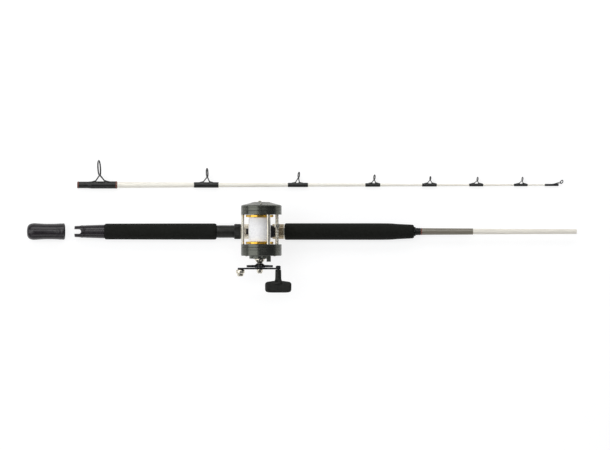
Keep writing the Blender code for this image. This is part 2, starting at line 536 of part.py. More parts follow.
# Gears: the crank's gear turns the pinion, and a train behind the left plate turns the worm
def gears():
    crank_centre, spool_centre = (0, -CRANK_DROP), (0, 0)
    phase = meshed_phase(0, DRIVE_TEETH, crank_centre, PINION_TEETH, spool_centre)
    prism("drive_gear", gear_outline(DRIVE_TEETH, DRIVE_MODULE, 0), DRIVE_GEAR_Y,
          DRIVE_GEAR_Y + DRIVE_GEAR_WIDTH, crank, BRASS, holes=(circle(CRANK_SHAFT + 0.1, 12),))
    bore = SHAFT_END_RADIUS + BORE_GAP
    piece = prism("pinion", gear_outline(PINION_TEETH, DRIVE_MODULE, phase), PINION_Y,
                  PINION_Y + PINION_WIDTH, reel, BRASS, holes=(circle(bore, 12),))
    rim = YOKE_Y - 0.2
    neck = [(rim - NECK_RIM, bore), (rim - NECK_RIM, NECK_FLANGE), (rim, NECK_FLANGE), (rim, NECK_RADIUS),
            (PINION_Y + 0.6, NECK_RADIUS), (PINION_Y + 0.6, bore)]
    boolean(piece, turned("neck", neck, reel, None, "Y", 12), "UNION")

    worm_centre = (PLATE_OFFSET + WORM[0], WORM[1])
    near = WIND_MODULE * (SPOOL_TEETH + IDLER_TEETH) / 2
    far = WIND_MODULE * (IDLER_TEETH + WORM_TEETH) / 2
    along = (near**2 - far**2 + WORM_SPAN**2) / (2 * WORM_SPAN)
    aside = math.sqrt(near**2 - along**2)
    line = math.atan2(worm_centre[1], worm_centre[0])
    idler_centre = (along * math.cos(line) + aside * math.sin(line),
                    along * math.sin(line) - aside * math.cos(line))
    idler_phase = meshed_phase(0, SPOOL_TEETH, spool_centre, IDLER_TEETH, idler_centre)
    worm_phase = meshed_phase(idler_phase, IDLER_TEETH, idler_centre, WORM_TEETH, worm_centre)
    low, high = WIND_GEAR_Y, WIND_GEAR_Y + WIND_GEAR_WIDTH
    prism("spool_gear", gear_outline(SPOOL_TEETH, WIND_MODULE, 0), low, high, reel, BRASS,
          holes=(circle(SHAFT_END_RADIUS + 0.05, 12),))
    prism("idler_gear", gear_outline(IDLER_TEETH, WIND_MODULE, idler_phase), low, high, reel, BRASS,
          holes=(circle(2.0, 12),), place=(idler_centre[0], 0, idler_centre[1]))
    place = (worm_centre[0], 0, worm_centre[1])
    worm = turned("worm_shaft", [(-FRAME_HALF - 5, 0), (-FRAME_HALF - 5, WORM_RADIUS), (high, WORM_RADIUS),
                                 (high, 0)], reel, STEEL, "Y", 12, place)
    wheel = prism("wheel", gear_outline(WORM_TEETH, WIND_MODULE, worm_phase), low, high - 0.4, reel, None,
                  place=place)
    boolean(worm, wheel, "UNION")
    return idler_centre


IDLER = gears()


# Line guide: a carriage on the worm and the bar, with a tall eye for the line
def line_guide():
    wide = WORM_RADIUS + GAP + LINE_GUIDE_WALL
    eye = [(-1.9, wide), (1.9, wide), (1.9, wide + 7.6), (-1.9, wide + 7.6)]
    outer = [(-3.4, -GUIDE_BAR_DROP - 2.8), (3.4, -GUIDE_BAR_DROP - 2.8), (wide, -3), (wide, 3),
             (4.4, wide + 1), (4.4, wide + 8), (3.0, wide + 9.6), (-3.0, wide + 9.6), (-4.4, wide + 8),
             (-4.4, wide + 1), (-wide, 3), (-wide, -3)]
    holes = (circle(WORM_RADIUS + GAP, 12), circle(GUIDE_BAR_RADIUS + GAP, 10, (0, -GUIDE_BAR_DROP)), eye)
    half = LINE_GUIDE_WIDTH / 2
    prism("line_guide", outer, LINE_GUIDE_SIDE - half, LINE_GUIDE_SIDE + half, reel, STEEL, holes=holes,
          place=(PLATE_OFFSET + WORM[0], 0, WORM[1]))


line_guide()


# Covers: cups that close the plates, with the bearings' seats, the pins and the gearbox boss
def left_cover():
    start = LEFT_PLATE_OUT + GAP
    rim = start + LEFT_COVER
    top = rim + DOME
    inner = PLATE_RADIUS - COVER_WALL
    dome = [(top - 5.6, PLATE_RADIUS - 3.2), (top - 2.6, PLATE_RADIUS - 13), (top - 0.6, PLATE_RADIUS - 26),
            (top, 6.0), (top, 0)]
    inside = [(top - COVER_WALL, 0), (top - COVER_WALL, 12.0), (top - COVER_WALL - 2.4, inner - 12),
              (rim - 0.5, inner), (start, inner)]
    profile = inside + [(start, PLATE_RADIUS), (rim, PLATE_RADIUS)] + dome
    piece = turned("left_cover", profile, reel, GUNMETAL, "Y", 40, (PLATE_OFFSET, 0, 0))
    boss = cylinder(LEFT_BEARING_Y + 0.2, top - 1.5, BEARING_RADIUS + 1.8, reel)
    pocket = cylinder(LEFT_BEARING_Y - 1, LEFT_BEARING_Y + BEARING_WIDTH + 0.8, BEARING_RADIUS + 0.1, reel)
    pin = cylinder(start + 0.5, top - 1.5, 1.7, reel, place=(IDLER[0], 0, IDLER[1]), sides=12)
    side = BUTTON_STEM + 0.5
    slot = box("button_slot", (-side, top - 8, -BUTTON_DROP - BUTTON_TRAVEL - side),
               (side, top + 3, -BUTTON_DROP + side), reel)
    boolean(piece, boss, "UNION")
    boolean(piece, pin, "UNION")
    boolean(piece, pocket, "DIFFERENCE")
    boolean(piece, slot, "DIFFERENCE")
    head = [(top - 9.0, 0), (top - 9.0, BUTTON_STEM), (top + 0.5, BUTTON_STEM), (top + 0.5, BUTTON_HEAD),
            (top + 1.9, BUTTON_HEAD), (top + 2.6, BUTTON_HEAD - 0.7), (top + 2.6, 0)]
    turned("click_button", head, reel, STEEL, "Y", 12, (0, 0, -BUTTON_DROP))


def right_cover():
    start, floor = RIGHT_PLATE_OUT - GAP, COVER_FLOOR
    inner = PLATE_RADIUS - COVER_WALL
    profile = [(floor, 0), (floor, inner - 2), (floor + 2, inner), (start, inner), (start, PLATE_RADIUS),
               (RIGHT_FACE + 1.4, PLATE_RADIUS), (RIGHT_FACE, PLATE_RADIUS - 1.4), (RIGHT_FACE, 0)]
    piece = turned("right_cover", profile, reel, GUNMETAL, "Y", 40, (PLATE_OFFSET, 0, 0))
    boss = cylinder(BOSS_FACE, RIGHT_FACE + 1, BOSS_RADIUS, crank, sides=32)
    bearing_end = RIGHT_BEARING_Y + BEARING_WIDTH
    seat = cylinder(floor - 0.6, bearing_end + 0.2, BEARING_RADIUS + 1.6, reel)
    pocket = cylinder(RIGHT_BEARING_Y - GAP, bearing_end + 1.2, BEARING_RADIUS + 0.1, reel)
    clutch_room = cylinder(BOSS_FACE + 2.0, floor + 3, 8.2, crank)
    shaft_hole = cylinder(BOSS_FACE - 2, floor + 3, CRANK_SHAFT + GAP, crank)
    boolean(piece, boss, "UNION")
    boolean(piece, seat, "UNION")
    for x in YOKE_PINS:
        pin = cylinder(floor - 0.6, YOKE_Y + YOKE_THICK, YOKE_PIN_RADIUS, reel, place=(x, 0, YOKE_PIN_RISE),
                       sides=10)
        boolean(piece, pin, "UNION")
    boolean(piece, pocket, "DIFFERENCE")
    boolean(piece, clutch_room, "DIFFERENCE")
    boolean(piece, shaft_hole, "DIFFERENCE")
    turned("anti_reverse_bearing", [(BOSS_FACE + 2.3, 7.9), (floor, 7.9), (floor, CRANK_SHAFT + 0.15),
                                    (BOSS_FACE + 2.3, CRANK_SHAFT + 0.15)], crank, STEEL, "Y", SMALL)


left_cover()
right_cover()


# Free-spool clutch: the lever outside moves the yoke, which slides the pinion along the shaft
def clutch():
    fork = NECK_RADIUS + GAP
    outline = [(-YOKE_HALF, YOKE_LOW), (-fork, YOKE_LOW), (-fork, 0)] + arc(fork, 180, 0, 6)[1:-1]
    outline += [(fork, 0), (fork, YOKE_LOW), (YOKE_HALF, YOKE_LOW), (YOKE_HALF, YOKE_HIGH),
                (-YOKE_HALF, YOKE_HIGH)]
    holes = [circle(YOKE_PIN_RADIUS + 0.25, 10, (x, YOKE_PIN_RISE)) for x in YOKE_PINS]
    prism("clutch_yoke", outline, YOKE_Y, YOKE_Y + YOKE_THICK, reel, STEEL, holes=holes)
    reach = (LEVER_TIP[0] - LEVER_PIVOT[0], LEVER_TIP[1] - LEVER_PIVOT[1])
    pivot = empty("clutch_lever_axis", reel, (LEVER_PIVOT[0], 0, LEVER_PIVOT[1]))
    face = RIGHT_FACE - GAP
    turn = math.degrees(math.atan2(reach[1], reach[0]))
    arm = arc(5.0, turn + 70, turn + 290, 10) + arc(3.6, turn - 90, turn + 90, 6, reach)
    piece = prism("clutch_lever", arm, face - LEVER_THICK, face, pivot, GUNMETAL)
    tab = [(reach[0] + x, reach[1] + z) for x, z in ((-4.4, -3.4), (4.4, -2.6), (4.4, 3.6), (-4.4, 3.0))]
    boolean(piece, prism("tab", tab, face - LEVER_THICK - TAB_DEPTH, face - 0.2, pivot, None), "UNION")


clutch()


# Crank: the shaft with its drag washers, the star wheel, the arm, the knob and the balance weight
def crank_pieces():
    turned("bearing_sleeve", [(BOSS_FACE, BELL_RADIUS), (BOSS_FACE - 2.4, BELL_RADIUS - 0.4),
                              (BOSS_FACE - 4.6, 6.6), (BELL_FACE, 5.2), (BELL_FACE, CRANK_SHAFT + GAP),
                              (BOSS_FACE, CRANK_SHAFT + GAP)], crank, STEEL, "Y", SMALL)
    turned("drive_shaft", [(-FRAME_HALF - 3, 0), (-FRAME_HALF - 3, CRANK_SHAFT), (ARM_OUT, CRANK_SHAFT),
                           (ARM_OUT, 0)], crank, STEEL, "Y", 12)
    edge = []
    for step in range(5):
        radius = DISC_RADIUS if step % 2 else WASHER_RADIUS
        near = DRIVE_GEAR_Y - 0.2 - step * WASHER_STEP
        edge += [(near, radius), (near - WASHER_STEP, radius)]
    last = edge[-1][0]
    turned("drag_washers", edge + [(last, CRANK_SHAFT + 0.1), (DRIVE_GEAR_Y - 0.2, CRANK_SHAFT + 0.1)],
           crank, WASHER, "Y", SMALL)
    bore = CRANK_SHAFT + GAP
    inner = BELL_FACE - GAP
    middle = STAR_FACE + STAR_DEPTH * 0.35
    star = turned("star_drag", [(inner, 6.5), (middle, STAR_HUB), (STAR_FACE + 1, STAR_HUB - 1),
                                (STAR_FACE, STAR_HUB - 3), (STAR_FACE, bore), (inner, bore)],
                  crank, BLACK_METAL, "Y", 20)
    for arm in range(STAR_ARMS):
        turn = 360 * arm / STAR_ARMS + 18
        tip_at = STAR_RADIUS - 3.2
        centre = (tip_at * math.cos(math.radians(turn)), tip_at * math.sin(math.radians(turn)))
        side = math.radians(turn + 90)
        root = 7.0
        foot = (root * math.cos(math.radians(turn)), root * math.sin(math.radians(turn)))
        blade = [(foot[0] - 3.4 * math.cos(side), foot[1] - 3.4 * math.sin(side))]
        blade += arc(3.2, turn - 90, turn + 90, 5, centre)
        blade += [(foot[0] + 3.4 * math.cos(side), foot[1] + 3.4 * math.sin(side))]
        boolean(star, prism("blade", blade, middle - STAR_THICK / 2, middle + STAR_THICK / 2, crank, None),
                "UNION")
    arm = arc(5.6, 90, 270, 8, (-WEIGHT_REACH, 0)) + arc(ARM_HUB, 250, 290, 4)
    arm += arc(5.2, -90, 90, 8, (KNOB_REACH, 0)) + arc(ARM_HUB, 70, 110, 4)
    holes = (circle(CRANK_SHAFT + 0.1, 12), circle(SPINDLE_RADIUS + 0.1, 12, (KNOB_REACH, 0)))
    prism("crank_arm", arm, ARM_OUT, ARM_FACE, crank, BLACK_METAL, holes=holes)
    turned("handle_nut", [(ARM_OUT - NUT_DEPTH, 0), (ARM_OUT - NUT_DEPTH, NUT_ACROSS - 2.4),
                          (ARM_OUT - NUT_DEPTH + 1.4, NUT_ACROSS - 0.6), (ARM_OUT - 2.0, NUT_ACROSS - 0.6),
                          (ARM_OUT - 2.0, NUT_ACROSS), (ARM_OUT, NUT_ACROSS), (ARM_OUT, 0)][::-1],
           crank, STEEL, "Y", 12)
    turned("counterweight", [(ARM_OUT - WEIGHT_DEPTH, 0), (ARM_OUT - WEIGHT_DEPTH, WEIGHT_RADIUS - 4.2),
                             (ARM_OUT - WEIGHT_DEPTH + 5.2, WEIGHT_RADIUS - 2.6),
                             (ARM_OUT - WEIGHT_DEPTH + 5.6, WEIGHT_RADIUS - 0.6),
                             (ARM_OUT - 4, WEIGHT_RADIUS), (ARM_OUT - 1.2, WEIGHT_RADIUS - 0.6),
                             (ARM_OUT, WEIGHT_RADIUS - 3), (ARM_OUT, 0)][::-1],
           crank, STEEL, "Y", SMALL, (-WEIGHT_REACH, 0, 0))
    axle = empty("knob_axis", crank, (KNOB_REACH, 0, 0))
    turned("knob_spindle", [(KNOB_OUT + 6, 0), (KNOB_OUT + 6, SPINDLE_RADIUS), (ARM_FACE, SPINDLE_RADIUS),
                            (ARM_FACE, SPINDLE_HEAD - 0.4), (ARM_FACE + 3.0, SPINDLE_HEAD),
                            (ARM_FACE + 4.4, SPINDLE_HEAD - 1.6), (ARM_FACE + 4.4, 0)],
           axle, BLACK_METAL, "Y", 12)
    knob(axle)


def knob(axle):
    """A T-shaped knob: a stem that flares into a rounded bar, hollow for its spindle."""
    shoulder = KNOB_FACE - KNOB_STEM_LENGTH
    half, thick = KNOB_LENGTH / 2, KNOB_THICK / 2
    bm = bmesh.new()
    rows = ((shoulder + 2.4, 11.0, 0.86), (shoulder, half - 3.0, 0.92), (shoulder - 3.0, half, 1.0),
            (KNOB_OUT + 5, half, 1.0), (KNOB_OUT + 1.6, half - 2.6, 0.86), (KNOB_OUT, half - 10.0, 0.6))
    rings = []
    for y, long_half, share in rows:
        short = thick * share
        corner = min(short, 5.0)
        points = []
        for quarter, (sx, sz) in enumerate(((1, 1), (-1, 1), (-1, -1), (1, -1))):
            centre = (sx * (long_half - corner), sz * (short - corner))
            points += arc(corner, 90 * quarter, 90 * quarter + 90, 3, centre)
        ring = [bm.verts.new(Vector((x, y, z)) * MM) for x, z in points]
        rings.append([bm.edges.new((ring[i - 1], ring[i])) for i in range(len(ring))])
    for ring, following in zip(rings, rings[1:]):
        bmesh.ops.bridge_loops(bm, edges=ring + following)
    bmesh.ops.edgeloop_fill(bm, edges=rings[0] + rings[-1])
    bmesh.ops.triangulate(bm, faces=[f for f in bm.faces if len(f.verts) > 4])
    piece = make("knob", bm, axle, KNOB_BLACK)
    stem = turned("stem", [(shoulder - 4, 0), (shoulder - 4, KNOB_STEM + 4.6), (shoulder + 0.4, KNOB_STEM + 4.2),
                           (shoulder + 3.4, KNOB_STEM + 1.2), (shoulder + 8, KNOB_STEM + 0.2),
                           (KNOB_FACE - 1, KNOB_STEM), (KNOB_FACE, KNOB_STEM - 0.8), (KNOB_FACE, 0)],
                  axle, None, "Y", SMALL)
    bore = cylinder(KNOB_OUT + 5.6, KNOB_FACE + 3, SPINDLE_RADIUS + GAP, axle, sides=12)
    boolean(piece, stem, "UNION")
    boolean(piece, bore, "DIFFERENCE")


crank_pieces()


# Tip section: a tapered blank whose open end is the socket for the butt blank
def tip_blank_radius(x):
    """The blank's outside radius at a place along the tip section."""
    if x < TIP_MIDDLE_AT:
        return TIP_BUTT + (TIP_MIDDLE - TIP_BUTT) * max(x - FERRULE_LENGTH, 0) / (TIP_MIDDLE_AT - FERRULE_LENGTH)
    return TIP_MIDDLE + (TIP_END - TIP_MIDDLE) * (x - TIP_MIDDLE_AT) / (TIP_LENGTH - TIP_MIDDLE_AT)


def tip_blank():
    socket = BLANK_TIP + SOCKET_GAP
    end = TIP_LENGTH - 4
    profile = [(SOCKET_DEPTH, 0), (SOCKET_DEPTH, socket), (0, socket), (0, TIP_BUTT - 0.1),
               (FERRULE_LENGTH, TIP_BUTT), (TIP_MIDDLE_AT, TIP_MIDDLE), (end, tip_blank_radius(end)), (end, 0)]
    turned("tip_blank", profile, tip, IVORY, sides=SMALL)
    bore = TIP_BUTT + BORE_GAP
    turned("ferrule_wrap", [(0, bore), (0, FERRULE_START), (1.2, FERRULE_START + 0.3), (22, FERRULE_START + 0.4),
                            (30, FERRULE_RADIUS), (FERRULE_LENGTH - 5, FERRULE_RADIUS),
                            (FERRULE_LENGTH - 1, FERRULE_RADIUS - 0.6), (FERRULE_LENGTH, bore + 0.3),
                            (FERRULE_LENGTH, bore)], tip, WRAP_BLACK, sides=SMALL)


tip_blank()


# Guides: a wire ring on two feet, which lie on the thread wraps
def wire_ring(name, radius, wire, parent, material, place, turn):
    """A ring of round wire in the plane across the rod."""
    bm = bmesh.new()
    sides = 24 if radius > 9 else 16
    section = [bm.verts.new(Vector((a, 0, radius + b)) * MM) for a, b in circle(wire, 6)]
    edges = [bm.edges.new((section[i - 1], section[i])) for i in range(6)]
    bmesh.ops.spin(bm, geom=section + edges, cent=(0, 0, 0), axis=(1, 0, 0), dvec=(0, 0, 0),
                   angle=2 * math.pi, steps=sides, use_merge=True)
    piece = make(name, bm, parent, material, place)
    piece.rotation_euler = turn
    return piece


def guide(number, x, height, ring_out, wire, back, front, wrap_start, wrap_end):
    """One guide, and its wrap where it has one of its own."""
    if wrap_end > wrap_start:
        start, end = tip_blank_radius(wrap_start), tip_blank_radius(wrap_end)
        seat = start + BORE_GAP + WRAP_WALL
        turned(f"wrap_{number}", [(wrap_start, start + BORE_GAP), (wrap_start, start + BORE_GAP + 0.2),
                                  (wrap_start + 2, seat), (wrap_end - 2, seat),
                                  (wrap_end, start + BORE_GAP + 0.2), (wrap_end, start + BORE_GAP)],
               tip, WRAP_BLACK, sides=SMALL)
    else:
        seat = FERRULE_RADIUS
    twist = math.radians(GUIDE_TURN) if number == 1 else 0
    ring = ring_out - wire
    piece = wire_ring(f"guide_{number}", ring, wire, tip, GUIDE_BLACK, (x, height, 0), (0, twist, 0))
    foot_low, foot_high = seat + 0.2, seat + 0.2 + WIRE_FOOT
    leg = foot_low + WIRE_FOOT / 2
    spread = math.radians(32)
    low, aside = height - ring * math.cos(spread), ring * math.sin(spread)
    for sign in (-1, 1):
        top = (x - sign * aside * math.sin(twist) * -1, low, sign * aside * math.cos(twist))
        boolean(piece, bar("leg", top, (x + front, leg, sign * 0.5), wire * 0.85, tip), "UNION", "MANIFOLD")
    boolean(piece, bar("brace", (x, height - ring, 0), (x + back, leg, 0), wire * 0.85, tip), "UNION", "MANIFOLD")
    for inner, outer in ((back + 1.2, back - 6.5), (front - 1.2, front + 6.5)):
        ends = sorted((x + inner, x + outer))
        foot = box("foot", (ends[0], foot_low, -1.4), (ends[1], foot_high, 1.4), tip)
        boolean(piece, foot, "UNION", "MANIFOLD")


for index, sizes in enumerate(GUIDES):
    guide(index + 1, *sizes)


def tip_top():
    """A tube over the end of the blank, and a ring on two struts."""
    start, end = TIP_LENGTH - TIP_TUBE_LENGTH - 4, TIP_LENGTH - 1.5
    bore = tip_blank_radius(start) + 0.1
    piece = turned("tip_top", [(TIP_LENGTH - 3.6, 0), (TIP_LENGTH - 3.6, bore), (start, bore), (start, TIP_TUBE),
                               (end - 0.6, TIP_TUBE), (end, TIP_TUBE - 0.6), (end, 0)],
                   tip, GUIDE_BLACK, sides=12)
    centre = (TIP_LENGTH + 3.2, TIP_RING_RISE, 0)
    lean = math.radians(-35)
    ring = wire_ring("tip_ring", TIP_RING - TIP_RING_WIRE, TIP_RING_WIRE, tip, None, centre, (0, 0, lean))
    boolean(piece, ring, "UNION", "MANIFOLD")
    reach = TIP_RING - TIP_RING_WIRE
    for sign in (-1, 1):
        low = (centre[0] + 0.4 * reach * math.sin(lean) * -1, centre[1] - 0.4 * reach * math.cos(lean),
               sign * 0.9 * reach)
        boolean(piece, bar("strut", low, (TIP_LENGTH - 9, 2.0, sign * 1.9), 0.7, tip), "UNION", "MANIFOLD")


tip_top()
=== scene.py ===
"""A two-piece boat rod with a level-wind reel, taken apart and laid flat on a pale table.

Metres, +Z up. The handle section lies along +X with the reel standing on it, and the tip section
lies beside it. Lengths are named in millimetres and turn to metres where a shape is made.
"""

import math

import bmesh
import bpy
from mathutils import Matrix, Vector


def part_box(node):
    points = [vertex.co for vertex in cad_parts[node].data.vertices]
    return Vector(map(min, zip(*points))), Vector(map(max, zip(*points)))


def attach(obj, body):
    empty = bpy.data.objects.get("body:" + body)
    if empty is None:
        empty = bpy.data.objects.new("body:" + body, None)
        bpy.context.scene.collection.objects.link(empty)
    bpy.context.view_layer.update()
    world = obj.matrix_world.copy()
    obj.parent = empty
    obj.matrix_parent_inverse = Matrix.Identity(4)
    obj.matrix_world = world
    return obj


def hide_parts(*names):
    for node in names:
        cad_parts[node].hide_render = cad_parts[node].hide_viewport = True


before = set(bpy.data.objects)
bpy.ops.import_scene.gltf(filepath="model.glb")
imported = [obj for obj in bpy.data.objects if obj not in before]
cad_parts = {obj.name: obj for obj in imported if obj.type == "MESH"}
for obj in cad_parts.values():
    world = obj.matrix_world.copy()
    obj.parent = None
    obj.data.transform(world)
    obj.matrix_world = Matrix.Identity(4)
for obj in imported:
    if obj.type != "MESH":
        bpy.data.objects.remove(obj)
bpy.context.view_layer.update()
MM = 0.001


# Butt cap. A cup of soft black vinyl that pushes over the gimbal to save the belt and the boat.
# Dip-moulded in one piece: satin, with a round bottom, a waist, and three shallow rings at its mouth.
CAP_LENGTH, CAP_BELLY, CAP_WAIST, CAP_MOUTH = 77.5, 17.4, 16.0, 17.0
CAP_BORE, CAP_DEPTH = 14.5, 63.7
CAP_NECK, NECK_FLARE = -17.0, 0.08
CAP_RINGS, CAP_RING_DEPTH = (-15.5, -12.5, -9.5), 0.35
VINYL, VINYL_WORN = "#151014", "#1c161b"


def centre(node):
    """The middle of a CAD node's box."""
    low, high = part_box(node)
    return (low + high) / 2


def smooth_line(points, steps=4):
    """A smooth line through points, with some steps between each two."""
    points = [Vector(p) for p in points]
    ends = [2 * points[0] - points[1], *points, 2 * points[-1] - points[-2]]
    line = [points[0]]
    for a, b, c, d in zip(ends, ends[1:], ends[2:], ends[3:]):
        for step in range(1, steps + 1):
            t = step / steps
            line.append(0.5 * (2 * b + (c - a) * t + (2 * a - 5 * b + 4 * c - d) * t**2
                               + (3 * b - a - 3 * c + d) * t**3))
    return [tuple(p) for p in line]


def counted(base, points, skin=0):
    """Profile points whose places are counted from a base, and whose radii from a skin's radius."""
    return [(base + along, skin + radius) for along, radius in points]


def moved(bm, place):
    """A mesh moved by a matrix."""
    bmesh.ops.transform(bm, matrix=place, verts=bm.verts)
    return bm


def turned(profile, place, sides=72):
    """A turned piece along its own x. The profile's points are (along, radius) in millimetres, and
    it closes on itself where both its ends stand off the axis, which leaves a bore."""
    bm = bmesh.new()
    verts = [bm.verts.new((t * MM, 0, r * MM)) for t, r in profile]
    edges = [bm.edges.new(pair) for pair in zip(verts, verts[1:])]
    if profile[0][1] > 0:
        edges.append(bm.edges.new((verts[-1], verts[0])))
    bmesh.ops.spin(bm, geom=verts + edges, cent=(0, 0, 0), axis=(1, 0, 0), dvec=(0, 0, 0),
                   angle=2 * math.pi, steps=sides, use_merge=True)
    bmesh.ops.remove_doubles(bm, verts=bm.verts, dist=1e-7)
    return moved(bm, place)


def softened(bm, width, angle=33, segments=2):
    """Rounds every edge where a piece's faces turn by more than an angle."""
    bmesh.ops.remove_doubles(bm, verts=bm.verts, dist=1e-7)
    bmesh.ops.recalc_face_normals(bm, faces=bm.faces)
    sharp = [e for e in bm.edges if len(e.link_faces) == 2
             and e.calc_face_angle(0) > math.radians(angle)]
    bmesh.ops.bevel(bm, geom=sharp, offset=width * MM, offset_type="OFFSET", affect="EDGES",
                    segments=segments, profile=0.5, material=-1, clamp_overlap=True)
    return bm


def colour(code):
    """An sRGB hex colour as the linear colour that a shader takes."""
    parts = (int(code[i:i + 2], 16) / 255 for i in (1, 3, 5))
    return (*(p / 12.92 if p <= 0.04045 else ((p + 0.055) / 1.055) ** 2.4 for p in parts), 1)


def feed(owner, node, inputs):
    """Sets a node's inputs. Each is a value, or another node's output to link."""
    for name, value in inputs.items():
        if isinstance(value, bpy.types.NodeSocket):
            owner.node_tree.links.new(value, node.inputs[name])
        else:
            node.inputs[name].default_value = value
    return node


def add(owner, kind, inputs=None, **settings):
    """Adds a node with its settings and inputs to a material or a world."""
    node = owner.node_tree.nodes.new(kind)
    for name, value in settings.items():
        setattr(node, name, value)
    return feed(owner, node, inputs or {})


def shade(material, inputs):
    """Sets inputs of a material's own shader."""
    feed(material, material.node_tree.nodes["Principled BSDF"], inputs)


def tinted(material, cloud, first, second, low, high):
    """The colour that runs from a first to a second while a value runs from low to high."""
    tint = add(material, "ShaderNodeValToRGB", {"Fac": cloud})
    for stop, place, code in zip(tint.color_ramp.elements, (low, high), (first, second)):
        stop.position, stop.color = place, colour(code)
    return tint.outputs["Color"]


def finish(name, first, second, grain, bump, rough, metal=0.0, coat=0.0, shine=0.5, stretch=(1, 1, 1)):
    """A finish that varies softly between two colours, with a fine grain. The grain and the bump
    are in millimetres, rough is the lowest and highest roughness, and stretch draws the grain out."""
    material = bpy.data.materials.new(name)
    material.use_nodes = True
    place = add(material, "ShaderNodeTexCoord").outputs["Object"]
    place = add(material, "ShaderNodeMapping", {"Vector": place, "Scale": stretch}).outputs[0]
    cloud = add(material, "ShaderNodeTexNoise", {"Vector": place, "Scale": 1 / (14 * grain * MM),
                                                 "Detail": 4.0, "Roughness": 0.6}).outputs["Fac"]
    fine = add(material, "ShaderNodeTexNoise", {"Vector": place, "Scale": 1 / (grain * MM),
                                                "Detail": 2.0}).outputs["Fac"]
    gloss = add(material, "ShaderNodeMapRange", {"Value": cloud, "From Min": 0.3, "From Max": 0.7,
                                                 "To Min": rough[0], "To Max": rough[1]})
    relief = add(material, "ShaderNodeBump", {"Height": fine, "Strength": 0.5, "Distance": bump * MM})
    shade(material, {"Metallic": metal, "Coat Weight": coat, "Coat Roughness": 0.06,
                     "Specular IOR Level": shine,
                     "Base Color": tinted(material, cloud, first, second, 0.35, 0.68),
                     "Roughness": gloss.outputs["Result"], "Normal": relief.outputs["Normal"]})
    return material


def meshed(name, bm):
    """A mesh from a bmesh, which is freed."""
    mesh = bpy.data.meshes.new(name)
    bm.to_mesh(mesh)
    bm.free()
    return mesh


def linked(name, data):
    """A new object in the scene."""
    item = bpy.data.objects.new(name, data)
    bpy.context.scene.collection.objects.link(item)
    return item


def keep(bm, name, material, body, slot, *nodes, angle=40):
    """Turns a finished bmesh into a piece on its body, in the place of its CAD nodes."""
    bmesh.ops.remove_doubles(bm, verts=bm.verts, dist=1e-6)
    bmesh.ops.recalc_face_normals(bm, faces=bm.faces)
    for edge in bm.edges:
        edge.smooth = len(edge.link_faces) == 2 and edge.calc_face_angle(0) < math.radians(angle)
    for face in bm.faces:
        face.smooth = True
    piece = linked(name, meshed(name, bm))
    piece.data.materials.append(material)
    weights = piece.modifiers.new("even_shading", "WEIGHTED_NORMAL")
    weights.keep_sharp = True
    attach(piece, body)
    if nodes:
        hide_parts(*nodes)
    return piece


def along(node, side=0):
    """The frame of a turned piece on the handle section's axis: its origin is at a node's low end,
    or at its high end where side is 1."""
    axis = centre("foregrip")
    return Matrix.Translation((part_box(node)[side].x, axis.y, axis.z))


# Moulded vinyl: satin, with soft cloudy reflections and a faint grain from the mould
vinyl = finish("moulded_vinyl", VINYL, VINYL_WORN, 0.9, 0.005, (0.26, 0.33), shine=0.5)
bottom = counted(-CAP_LENGTH, [(0, 7.0), (0.6, 9.8), (2.1, 12.7), (4.6, 15.0), (8.2, 16.5), (14, CAP_BELLY),
                               (24, CAP_BELLY - 0.6), (36, CAP_WAIST + 0.1)])
outside = smooth_line([*bottom, (-33, CAP_WAIST), (-22, CAP_WAIST + 0.1), (CAP_NECK, CAP_WAIST + 0.3)])
for ring in CAP_RINGS:
    skin = CAP_WAIST + 0.3 + (ring - CAP_NECK) * NECK_FLARE
    outside += [(ring - 0.7, skin), (ring - 0.3, skin - CAP_RING_DEPTH),
                (ring + 0.3, skin - CAP_RING_DEPTH), (ring + 0.7, skin + 0.05)]
outside += smooth_line([(-6.5, CAP_MOUTH - 0.3), (-3.5, CAP_MOUTH), (-1.2, CAP_MOUTH - 0.15),
                        (-0.3, CAP_MOUTH - 0.7), (0, CAP_MOUTH - 1.5)])
inside = [(-0.2, CAP_BORE + 0.5), (-1.0, CAP_BORE), (-CAP_DEPTH, CAP_BORE), (-CAP_DEPTH, 0)]
keep(turned([(-CAP_LENGTH, 0), *outside, *inside], along("butt_cap", 1)), "butt_cap_shell", vinyl,
     "butt_cap", "cap_rubber", "butt_cap", angle=50)


# Gimbal. The end fitting that drops over the cross pin of a rod holder or a fighting belt.
# Injection-moulded in glass-filled nylon: two crossed slots, a band of fine rings, and a smooth taper.
GIMBAL_LENGTH, GIMBAL_END, GIMBAL_ROOT = 61.7, 12.4, 14.2
GIMBAL_BORE, GIMBAL_DEPTH, GIMBAL_BACK_BORE = 8.8, 34.0, 6.5
SLOT_WIDTH, SLOT_DEPTH = 9.3, 14.0
BAND_FROM, BAND_RINGS, BAND_PITCH, BAND_DEPTH = 17.6, 4, 1.5, 0.45
NYLON, NYLON_PALE = "#161115", "#1c171b"


def applied(bm, kind, **settings):
    """A mesh after one of Blender's modifiers, as a new bmesh."""
    mesh = meshed("work", bm)
    work = linked("work", mesh)
    change = work.modifiers.new(kind, kind)
    for name, value in settings.items():
        setattr(change, name, value)
    after = bpy.data.meshes.new_from_object(work.evaluated_get(bpy.context.evaluated_depsgraph_get()))
    result = bmesh.new()
    result.from_mesh(after)
    bpy.data.objects.remove(work)
    bpy.data.meshes.remove(after)
    bpy.data.meshes.remove(mesh)
    return result


